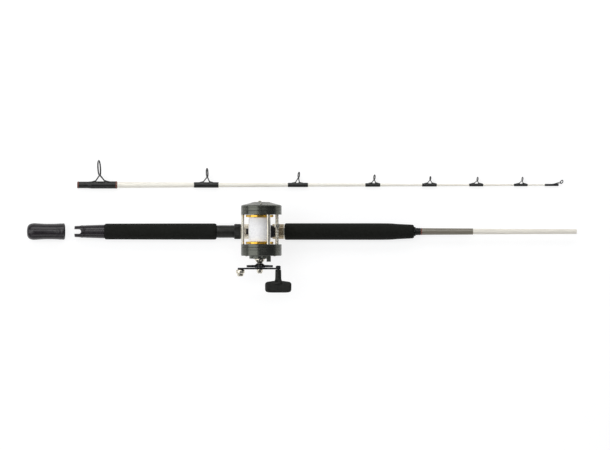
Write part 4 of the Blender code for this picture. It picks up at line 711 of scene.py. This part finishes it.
# Handle-side cover. The cup over the drive gears, with a raised boss that the crank shaft leaves by.
# Die-cast aluminium, machined on its face and anodised gunmetal. The plate's lettering is left out.
RIGHT_COVER, BOSS_DEPTH, BOSS_RADIUS, SHAFT = 17.7, 6.2, 21.7, 3.0
start = -FRAME_HALF - RIGHT_PLATE - 0.3
face = start - RIGHT_COVER
boss_face = face - BOSS_DEPTH
cup = [(face + 2.2, 0), (face + 2.2, edge - 4.2), (face + 4.2, edge - 2.2),
       *counted(start, [(0, -2.2), (0, -0.5), (-0.5, 0), (-5.0, 0), (-5.3, -0.4), (-5.7, -0.4), (-6.0, 0)],
                edge),
       *counted(face, [(1.8, 0), (0.8, -0.35), (0.2, -1.1), (0, -2.2), (0, -5.0), (0.5, -5.4), (0.5, -6.2),
                       (0, -6.6)], edge), (face, 0)]
cover = turned(cup, reel_place(plate_axis), 128)
boss = [(face + 1, 0), *counted(face, [(1, 0.6), (0, 0.6), (-0.7, 0.1), (-1.6, 0)], BOSS_RADIUS),
        *counted(boss_face, [(1.0, 0), (0.3, -0.3), (0, -1.0)], BOSS_RADIUS),
        *counted(boss_face, [(0, 14.0), (0.6, 13.4), (0.6, 0)])]
cover = combined(cover, turned(boss, reel_place(crank_axis), 96), "UNION")
cover = combined(cover, pin(crank_axis, boss_face - 5, face + 5, SHAFT + 0.3, 32))
keep(cover, "handle_cover", gunmetal, "root", "gunmetal", "right_cover", angle=32)
screws("handle_cover_screws", face, -SCREW_RISE, SCREW_CIRCLE, (35, 155, 275))


# Free-spool lever. It turns on the cover's face and slides the pinion off the spool's shaft.
# Die-cast zinc in gunmetal, with a thumb tab that stands out from the side.
PIVOT_END, THUMB_END, LEVER_IN, LEVER_OUT, TAB_OUT = 5.0, 3.6, 0.1, 3.4, 11.6
pivot, reach_to = Vector((8.0, 22.0)), Vector((11.0, 3.0))
pivot_place = Matrix.Translation(spool_axis + Vector((pivot.x, 0, pivot.y)) * MM)
lever_face = face - 0.3
turn = math.degrees(math.atan2(reach_to.y, reach_to.x))
arm_line = arc(PIVOT_END, turn + 70, turn + 290, 16) + arc(THUMB_END, turn - 90, turn + 90, 10, reach_to)
lever = slab(arm_line, lever_face - LEVER_OUT, lever_face - LEVER_IN, pivot_place)
tab_line = [(reach_to.x + x, reach_to.y + z) for x, z in ((-4.4, -3.4), (4.4, -2.6), (4.4, 3.6), (-4.4, 3.0))]
tab = slab(tab_line, lever_face - TAB_OUT, lever_face - 0.2, pivot_place)
keep(cast([lever, tab], 0.35, 3), "free_spool_lever", gunmetal, "clutch_lever", "gunmetal", "clutch_lever",
     angle=60)


# Crank bearing sleeve. The stepped bell on the boss that the crank shaft turns in.
# Turned in brass, nickel plated and polished, with a bead at its foot.
BELL_RADIUS, BELL_DEPTH = 11.0, 9.2
bell_face = boss_face - BELL_DEPTH
bead = [(0, -0.4), (-0.4, 0), (-2.0, 0), (-2.5, -0.5), (-2.8, -1.0), (-3.4, -1.2)]
bell = [(boss_face, SHAFT + 0.3), *counted(boss_face, bead, BELL_RADIUS)]
bell += smooth_line([*counted(boss_face, [(-3.5, -1.4), (-5.4, -2.6), (-7.0, -4.2)], BELL_RADIUS),
                     (bell_face + 0.6, BELL_RADIUS - 5.2)])
bell += [(bell_face, BELL_RADIUS - 5.6), (bell_face, SHAFT + 0.3)]
keep(turned(bell, reel_place(crank_axis), 64), "bearing_bell", bright, "root", "bright_metal",
     "bearing_sleeve", angle=35)


# Star drag. The five-armed wheel that screws along the crank shaft and presses the drag washers.
# Cast and tumbled, then blacked: its arms flow into the hub.
STAR_RADIUS, STAR_ARMS, STAR_THICK, STAR_HUB, STAR_DEPTH = 28.5, 5, 4.8, 13.2, 8.8
star_face = bell_face - 0.3 - STAR_DEPTH
star_middle = star_face + 0.5 + STAR_THICK / 2
hub = turned([(bell_face - 0.3, 0), (bell_face - 0.3, 6.5), (star_middle, STAR_HUB),
              (star_face + 1, STAR_HUB - 1), (star_face, STAR_HUB - 3), (star_face, 0)],
             reel_place(crank_axis), 64)
parts = [hub]
for arm in range(STAR_ARMS):
    out = Matrix.Rotation(-math.radians(360 * arm / STAR_ARMS + 18), 4, "Y")
    blade = [(7.0, -4.2), (14, -3.6), (20, -3.0)] + arc(3.2, -90, 90, 10, (STAR_RADIUS - 3.3, 0))
    blade += [(20, 3.0), (14, 3.6), (7.0, 4.2)]
    parts.append(slab(blade, star_middle - STAR_THICK / 2, star_middle + STAR_THICK / 2,
                      Matrix.Translation(crank_axis) @ out))
star = combined(cast(parts, 0.42, 4), pin(crank_axis, star_face - 3, bell_face + 3, SHAFT + 0.3, 32))
keep(star, "star_drag_wheel", black_enamel, "star_drag", "black_metal", "star_drag", angle=50)


# Crank arm. A flat bar from the balance weight through the hub to the knob.
# Stamped from stainless plate and blacked, with rounded edges.
ARM_THICK, KNOB_REACH, WEIGHT_REACH, PIN_RADIUS = 3.4, 38.0, 40.0, 2.2
arm_face = star_face - 0.3
arm_out = arm_face - ARM_THICK
crank_place = Matrix.Translation(crank_axis)
side = [(-30, 5.2), (-14, 6.2), (-5.5, 7.6), (0, 8.0), (5.5, 7.6), (14, 6.0), (28, 5.0)]
bar_line = arc(5.6, 90, 270, 16, (-WEIGHT_REACH, 0)) + smooth_line([(x, -z) for x, z in side])
bar_line += arc(5.2, -90, 90, 16, (KNOB_REACH, 0)) + smooth_line(side[::-1])
bar = softened(slab(bar_line, arm_out, arm_face, crank_place), 0.7, 50, 3)
bar = combined(bar, pin(crank_axis, arm_out - 2, arm_face + 2, SHAFT + 0.1, 32))
knob_axis = crank_axis + Vector((KNOB_REACH * MM, 0, 0))
bar = combined(bar, pin(knob_axis, arm_out - 2, arm_face + 2, PIN_RADIUS + 0.1, 24))
keep(bar, "crank_arm_bar", black_enamel, "crank", "black_metal", "crank_arm", angle=30)


# Handle nut. The hexagon nut and its washer that lock the arm on the shaft.
# Nickel-plated steel with a chamfered crown.
NUT_DEPTH, NUT_ACROSS = 8.6, 6.4
nut_face = arm_out - NUT_DEPTH
hexagon = arc(NUT_ACROSS - 0.3, 0, 300, 5)
cap_nut = softened(slab(hexagon, nut_face + 2.6, arm_out - 1.4, crank_place), 0.25, 30)
dome = turned(counted(nut_face, [(0, 0), (0, 3.0), (0.5, 4.0), (1.6, 4.7), (3.0, 5.0), (3.0, 0)]),
              reel_place(crank_axis), 48)
washer = softened(pin(crank_axis, arm_out - 1.5, arm_out, NUT_ACROSS, 48), 0.25)
cap_nut = combined(combined(cap_nut, dome, "UNION"), washer, "UNION")
keep(cap_nut, "handle_cap_nut", bright, "crank", "bright_metal", "handle_nut", angle=30)


# Balance weight. The turned weight at the short end of the arm, opposite the knob.
# Brass bar turned with a waist and a step and nickel plated. It is riveted through the arm.
weight_axis = crank_axis - Vector((WEIGHT_REACH * MM, 0, 0))
weight_line = counted(arm_out, [
    (0, 0), (0, 6.0), (-0.6, 7.6), (-1.4, 8.6), (-2.4, 9.1), (-4.2, 9.2), (-6.6, 9.1), (-7.6, 8.7),
    (-8.2, 8.0), (-8.6, 7.0), (-9.0, 6.7), (-12.6, 6.3), (-13.6, 5.9), (-14.2, 5.2), (-14.5, 4.4),
    (-14.5, 2.4), (-14.0, 2.0), (-14.0, 0)])
keep(turned(weight_line, reel_place(weight_axis), 72), "balance_weight", bright, "crank", "bright_metal",
     "counterweight", angle=40)


# Knob. A T-shaped grip for the whole hand that turns freely on its spindle.
# Moulded in soft-touch rubber over nylon: dull black, with a fine sandy texture and square ends.
STEM, STEM_LENGTH, KNOB_LENGTH, KNOB_DEPTH, KNOB_THICK = 6.2, 26.0, 54.5, 21.4, 15.0
soft_rubber = finish("soft_touch_rubber", "#0f100d", "#1e1f1b", 0.35, 0.14, (0.45, 0.6), shine=0.3)
knob_face = arm_out - 0.3
shoulder = knob_face - STEM_LENGTH
knob_out = shoulder - KNOB_DEPTH
grip_bar = bmesh.new()
loops = []
half = KNOB_LENGTH / 2
for y, long_half, share in ((shoulder + 2.6, 11.0, 0.86), (shoulder + 0.6, half - 3.4, 0.92),
                            (shoulder - 2.0, half - 0.6, 0.98), (shoulder - 5.0, half, 1.0),
                            (knob_out + 5, half - 0.2, 1.0), (knob_out + 1.8, half - 2.0, 0.88),
                            (knob_out + 0.3, half - 6.0, 0.72), (knob_out - 0.1, half - 12, 0.5)):
    short = KNOB_THICK / 2 * share
    corner = min(short, 5.0)
    points = []
    for quarter, (sx, sz) in enumerate(((1, 1), (-1, 1), (-1, -1), (1, -1))):
        middle = (sx * (long_half - corner), sz * (short - corner))
        points += arc(corner, 90 * quarter, 90 * quarter + 90, 8, middle)
    points = [p for i, p in enumerate(points) if (Vector(p) - Vector(points[i - 1])).length > 1e-4]
    verts = [grip_bar.verts.new(Vector((x, y, z)) * MM + knob_axis) for x, z in points]
    loops.append([grip_bar.edges.new((verts[i - 1], verts[i])) for i in range(len(verts))])
for first, following in zip(loops, loops[1:]):
    bmesh.ops.bridge_loops(grip_bar, edges=first + following)
for end in (loops[0], loops[-1]):
    bmesh.ops.edgeloop_fill(grip_bar, edges=end)
stem = [(shoulder - 4, 0),
        *counted(shoulder, [(-4, 4.8), (0.4, 4.4), (2.4, 2.0), (5.0, 0.6), (9, 0.2)], STEM),
        *counted(knob_face, [(-1.4, 0), (-0.4, -0.4), (0, -1.4)], STEM), (knob_face, 0)]
stem = turned(stem, reel_place(knob_axis), 48)
keep(cast([grip_bar, stem], 0.65, 3), "crank_knob", soft_rubber, "knob", "knob_rubber", "knob", angle=70)


# Knob spindle. The pin through the knob, with its riveted head behind the arm.
# Stainless steel, blacked with the arm.
spindle = [(knob_out + 6, 0), (knob_out + 6, PIN_RADIUS), (arm_face, PIN_RADIUS),
           *counted(arm_face, [(0, 4.8), (0.6, 5.2), (2.6, 5.2), (3.8, 4.4), (4.4, 3.0), (4.4, 0)])]
keep(turned(spindle, reel_place(knob_axis), 40), "knob_pin", black_enamel, "knob", "black_metal",
     "knob_spindle", angle=35)


# Inner works. Shafts, gears, bearings and drag washers, which stay as the working model gives them.
# Brass is hobbed, bearings and shafts are ground steel, and the washers are woven carbon.
brass = finish("hobbed_brass", "#a8843f", "#c19b52", 0.25, 0.01, (0.24, 0.36), metal=1.0)
carbon = finish("carbon_washer", "#2e2d2b", "#4c4a46", 0.5, 0.03, (0.5, 0.7))
for material, names in ((brass, ("spool_gear", "idler_gear", "drive_gear", "pinion")),
                        (steel, ("spool_shaft", "left_bearing", "right_bearing", "anti_reverse_bearing",
                                 "clutch_yoke", "drive_shaft")),
                        (carbon, ("drag_washers",))):
    for name in names:
        for material_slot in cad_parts[name].material_slots:
            material_slot.material = material


# Tip section. A slim tapered blank whose wide end is the socket for the handle's spigot.
# Rolled glass cloth in ivory enamel. It lies on its ferrule and its first ring, so it is rolled over.
TIP_LENGTH, TIP_BUTT, TIP_MIDDLE, TIP_MIDDLE_AT, TIP_END = 1001.0, 6.2, 3.6, 478.0, 1.6
SOCKET, SOCKET_DEPTH, FERRULE_LENGTH = 5.2, 70.0, 83.0
# It rests on the ferrule's wrap, the first guide's ring and the tip top, which sets its roll and slope
TIP_ROLL, TIP_SLOPE, TIP_RISE = math.asin(9.8 / 36.0), math.atan2(4.688, 918.0), 8.024
tip_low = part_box("tip_blank")[0]
tip_frame = (Matrix.Translation((tip_low.x + 0.03 * MM, centre("tip_blank").y, TIP_RISE * MM))
             @ Matrix.Rotation(TIP_SLOPE, 4, "Y") @ Matrix.Rotation(TIP_ROLL, 4, "X"))


def tip_radius(x):
    """The outside radius of the tip section's blank."""
    if x < TIP_MIDDLE_AT:
        past = max(x - FERRULE_LENGTH, 0)
        return TIP_BUTT + (TIP_MIDDLE - TIP_BUTT) * past / (TIP_MIDDLE_AT - FERRULE_LENGTH)
    return TIP_MIDDLE + (TIP_END - TIP_MIDDLE) * (x - TIP_MIDDLE_AT) / (TIP_LENGTH - TIP_MIDDLE_AT)


blank_line = [(SOCKET_DEPTH, 0), (SOCKET_DEPTH, SOCKET), (0.5, SOCKET), (0, SOCKET + 0.3),
              (0, TIP_BUTT - 0.4), (0.3, TIP_BUTT - 0.1), (FERRULE_LENGTH, TIP_BUTT),
              (TIP_MIDDLE_AT, TIP_MIDDLE),
              (TIP_LENGTH - 4, tip_radius(TIP_LENGTH - 4)), (TIP_LENGTH - 4, 0)]
ivory = finish("ivory_enamel", "#f2eee2", "#f6f3e9", 2.5, 0.008, (0.34, 0.42), coat=0.15, shine=0.3)
keep(turned(blank_line, tip_frame, 48), "tip_section_blank", ivory, "tip_section", "blank", "tip_blank")


# Ferrule wrap. Black thread over the socket, so that the spigot can't split it.
# Wound in two layers, swelling where the first guide's feet are bound on, and sealed in epoxy.
FERRULE_START, FERRULE_RADIUS = 6.6, 7.6
black_thread = wrapped("black_thread_epoxy", "#0d0e0b", "#1c1d18", THREAD_WIDTH)
FOOT_HALF, FOOT_THICK = 1.4, 1.4


def bound(bm, feet, seat):
    """Swells a turned wrap over the guide's feet: the thread runs straight from each foot's corners
    to the blank. Each foot is (from, to), and thins to nothing at its outer end."""
    for v in bm.verts:
        x, radius = v.co.x / MM, math.hypot(v.co.y, v.co.z) / MM
        around = abs(math.atan2(v.co.z, v.co.y))
        for inner_end, outer_end in feet:
            low, high = sorted((inner_end, outer_end))
            if not low - 0.6 < x < high + 0.6 or radius < seat - 0.25:
                continue
            share = min(1, max(0, abs(outer_end - x) / 4.0))
            height = seat + FOOT_THICK * (0.25 + 0.75 * share)
            corner, reach = math.atan2(FOOT_HALF, height), math.hypot(FOOT_HALF, height)
            touch = corner + math.acos(min(1, seat / reach))
            if around < corner:
                wanted = height / math.cos(around)
            elif around < touch:
                wanted = seat / math.cos(touch - around)
            else:
                wanted = radius
            grow = max(1, wanted / radius)
            v.co.y, v.co.z = v.co.y * grow, v.co.z * grow
    return bm


def wrap(name, node, ends, seat, feet, ramp=2.0, start=None):
    """A thread wrap between two places along the tip section, bound over a guide's feet."""
    bore = tip_radius(ends[0]) + 0.15 if start is None else TIP_BUTT + 0.15
    rows = int((ends[1] - ends[0]) / 0.8)
    line = [(ends[0], bore)]
    for i in range(rows + 1):
        x = ends[0] + (ends[1] - ends[0]) * i / rows
        near = min(x - ends[0], ends[1] - x) / ramp
        body = seat if start is None else start + (seat - start) * min(1, max(0, (x - 22) / 8))
        low = bore + 0.15
        line.append((x, low + (body - low) * math.sin(math.pi / 2 * min(1, near))))
    line.append((ends[1], bore))
    bm = bound(turned(line, Matrix.Identity(4), 64), feet, seat)
    keep(moved(bm, tip_frame), name, black_thread, "tip_section", "thread_wrap", node, angle=50)


# Guides. Rings on wire legs that lead the line along the tip, smaller towards its end.
# Bent and brazed stainless wire, blacked, with a ceramic ring pressed in, and flat feet under thread.
#    along, height, ring radius, wire, back foot, front foot, wrap from, wrap to, and the ring's turn and lean
GUIDES = (
    (46.0, 36.0, 17.4, 1.50, -8.6, 13.0, 0.0, 0.0, 14, 0),
    (269.5, 25.9, 10.5, 1.35, -8.7, 5.6, 242.0, 293.0, 12, -1),
    (459.5, 21.4, 7.0, 1.15, -7.5, 1.5, 436.8, 478.5, 12, -9),
    (616.5, 16.4, 6.1, 1.10, -5.8, 3.0, 597.7, 628.6, 12, -8),
    (732.6, 14.5, 4.6, 1.00, -6.0, 4.0, 715.4, 746.1, 12, -8),
    (830.6, 12.9, 4.7, 0.95, -7.0, 2.5, 813.4, 842.6, 12, -9),
    (923.8, 12.9, 4.5, 0.90, -6.8, 2.0, 906.2, 934.8, 12, -10),
)
FOOT_REACH, LEG_SPREAD, LEG_SHARE, LINER = 6.5, 32.0, 0.85, 0.55
blacked_wire = finish("blacked_wire", "#0c0d0e", "#191a1b", 0.3, 0.004, (0.24, 0.34), metal=0.2, shine=0.4)
ceramic = finish("grey_ceramic", "#151617", "#222425", 0.4, 0.004, (0.08, 0.14), coat=0.3)


def wire(points, radius):
    """Round wire along a smooth line of points in millimetres."""
    curve = bpy.data.curves.new("wire", "CURVE")
    curve.dimensions = "3D"
    curve.bevel_depth, curve.bevel_resolution, curve.use_fill_caps = radius * MM, 3, True
    line = smooth_line(points, 5)
    spline = curve.splines.new("POLY")
    spline.points.add(len(line) - 1)
    for point, place in zip(spline.points, line):
        point.co = (*(Vector(place) * MM), 1)
    holder = linked("wire", curve)
    mesh = bpy.data.meshes.new_from_object(holder.evaluated_get(bpy.context.evaluated_depsgraph_get()))
    bm = bmesh.new()
    bm.from_mesh(mesh)
    bpy.data.objects.remove(holder)
    bpy.data.curves.remove(curve)
    bpy.data.meshes.remove(mesh)
    return bm


def ring_frame(middle, lean, turn):
    """The frame of a ring whose axis is along the rod, then leaned and turned by these degrees."""
    return (Matrix.Translation(middle * MM) @ Matrix.Rotation(math.radians(lean), 4, "Z")
            @ Matrix.Rotation(math.radians(turn), 4, "Y"))


def guide(number, x, height, ring_out, gauge, back, front, wrap_from, wrap_to, turn, lean):
    """One guide: the wire frame with its feet, the ceramic ring, and the thread that binds it."""
    own_wrap = wrap_to > wrap_from
    seat = (tip_radius(wrap_from) + 0.7) if own_wrap else FERRULE_RADIUS
    hoop = ring_out - gauge
    middle = Vector((x, height, 0))
    lift = ring_frame(middle, lean, turn)
    parts = [turned(counted(0, arc(gauge, 0, 345, 15), hoop), lift)]
    foot_top = seat + 0.2 + FOOT_THICK * 0.45
    spread = math.radians(LEG_SPREAD)
    for sign, leave, bent, end in ((-1, spread, front * 0.8, front + 1.2),
                                   (1, spread, front * 0.8, front + 1.2),
                                   (0, 0.0, back * 0.85, back - 1.2)):
        start = middle + lift.to_3x3() @ Vector((0, -hoop * math.cos(leave), sign * hoop * math.sin(leave)))
        bend = Vector((x + bent, foot_top + 1.0, sign * 0.9))
        parts.append(wire([start, start.lerp(bend, 0.5), bend, Vector((x + end, foot_top, sign * 0.5))],
                          gauge * LEG_SHARE))
    feet = ((x + back + 1.2, x + back - FOOT_REACH), (x + front - 1.2, x + front + FOOT_REACH))
    for inner_end, outer_end in feet:
        foot = slab([(inner_end, seat + 0.2), (outer_end, seat + 0.2), (outer_end, seat + 0.35),
                     (inner_end, seat + 1.15)], -FOOT_HALF + 0.3, FOOT_HALF - 0.3, Matrix.Identity(4))
        for v in foot.verts:
            v.co.y, v.co.z = v.co.z, v.co.y
        parts.append(softened(foot, 0.2))
    keep(together(parts, tip_frame), f"guide_{number}_frame", blacked_wire, "tip_section", "guide_metal",
         f"guide_{number}", angle=50)
    liner = turned(counted(0, arc(LINER, 0, 330, 11), hoop - gauge + 0.25), tip_frame @ lift)
    keep(liner, f"guide_{number}_ring", ceramic, "tip_section", "guide_metal")
    if own_wrap:
        wrap(f"wrap_{number}_thread", f"wrap_{number}", (wrap_from, wrap_to), seat, feet)
    else:
        wrap("ferrule_thread", "ferrule_wrap", (0.0, FERRULE_LENGTH), seat, feet, 3.0, FERRULE_START + 0.3)


for number, sizes in enumerate(GUIDES, 1):
    guide(number, *sizes)
for name, from_x, radius in (("back", 0.5, 6.9), ("front", FERRULE_LENGTH - 3.4, 7.5)):
    band = counted(from_x, [(0, -0.6), (0.2, 0.1), (0.8, 0.3), (1.8, 0.3), (2.4, 0.1), (2.8, -0.6)], radius)
    keep(turned(band, tip_frame), f"ferrule_trim_{name}", red_thread, "tip_section", "trim")


# Tip top. The last ring, on a tube glued over the end of the blank.
# Blacked stainless: a drawn tube, a ring leaned forward so that the line slips off, and two struts.
TUBE, TUBE_LENGTH, TOP_RING, TOP_GAUGE, TOP_AHEAD, TOP_RISE = 2.3, 26.5, 4.6, 0.95, 4.6, 6.8
TOP_LEAN, TOP_TURN, TOP_LINER, STRUT = -32.0, 24.0, 0.35, 0.65
start, stop = TIP_LENGTH - TUBE_LENGTH - 4, TIP_LENGTH - 1.5
bore = tip_radius(start) + 0.1
tube = [(TIP_LENGTH - 3.6, 0), (TIP_LENGTH - 3.6, bore), (start, bore), (start, TUBE - 0.15),
        (start + 0.2, TUBE),
        *counted(stop, [(-0.9, 0), (-0.3, -0.3), (0, -0.9)], TUBE), (stop, 0)]
hoop = TOP_RING - TOP_GAUGE
lift = ring_frame(Vector((TIP_LENGTH + TOP_AHEAD, TOP_RISE, 0)), TOP_LEAN, TOP_TURN)
parts = [turned(tube, Matrix.Identity(4), 40), turned(counted(0, arc(TOP_GAUGE, 0, 330, 11), hoop), lift, 56)]
for sign in (-1, 1):
    leave = lift @ (Vector((0, -0.4 * hoop, sign * 0.9 * hoop)) * MM) / MM
    strut = [Vector((TIP_LENGTH - behind, rise, sign * aside))
             for behind, rise, aside in ((3, 4.2, 2.6), (11, 2.0, 1.6), (14, 1.8, 1.3))]
    parts.append(wire([leave, *strut], STRUT))
keep(together(parts, tip_frame), "tip_top_frame", blacked_wire, "tip_section", "guide_metal", "tip_top",
     angle=50)
liner = turned(counted(0, arc(TOP_LINER, 0, 315, 7), hoop - TOP_GAUGE + 0.2), tip_frame @ lift, 56)
keep(liner, "tip_top_ring", ceramic, "tip_section", "guide_metal")


# Table, light and camera. A white paper sweep between two long softboxes, seen straight from above.
FLOOR_SIZE, CAMERA_HEIGHT, FOCAL, SENSOR = 12.0, 5.6, 159.0, 36.0
VIEW_X, VIEW_Y = 0.0063, 0.0019
table = bmesh.new()
bmesh.ops.create_grid(table, x_segments=24, y_segments=24, size=FLOOR_SIZE / 2)
bmesh.ops.translate(table, verts=table.verts, vec=(0, 0, -0.2 * MM))
paper = finish("white_paper", "#949494", "#969696", 3.0, 0.01, (0.85, 0.95), shine=0.1)
shade(paper, {"Emission Color": (1, 1, 1, 1), "Emission Strength": 0.78})
floor = linked("table", meshed("table", table))
floor.data.materials.append(paper)

for name, place, size, glow in (("softbox_palm_side", (0, 1.5, 1.15), (3.2, 0.9), 2.5),
                                ("softbox_handle_side", (0, -1.6, 1.05), (3.2, 0.8), 1.2),
                                ("softbox_cap_end", (-1.75, 0, 1.5), (1.6, 2.4), 1.8),
                                ("softbox_above", (0, 0.9, 2.9), (3.4, 0.8), 2.2)):
    lamp = bpy.data.lights.new(name, "AREA")
    lamp.shape = "RECTANGLE"
    lamp.size, lamp.size_y = size
    lamp.energy = glow * math.pi * size[0] * size[1]
    holder = linked(name, lamp)
    holder.location = place
    holder.rotation_euler = (-Vector(place)).to_track_quat("-Z", "Y").to_euler()
    holder.visible_camera = False

world = bpy.data.worlds.new("studio")
world.use_nodes = True
seen = add(world, "ShaderNodeLightPath").outputs["Is Camera Ray"]
wall = add(world, "ShaderNodeMix", {"Factor": seen, "A": (0.15, 0.155, 0.17, 1), "B": colour("#f6f6f6")},
           data_type="RGBA")
feed(world, world.node_tree.nodes["Background"], {"Color": wall.outputs["Result"]})
bpy.context.scene.world = world
bpy.context.scene.view_settings.view_transform = "Standard"

lens = bpy.data.cameras.new("camera")
lens.lens, lens.sensor_width = FOCAL, SENSOR
lens.clip_end = 50
camera = linked("camera", lens)
camera.location = (VIEW_X, VIEW_Y, CAMERA_HEIGHT)
bpy.context.scene.camera = camera
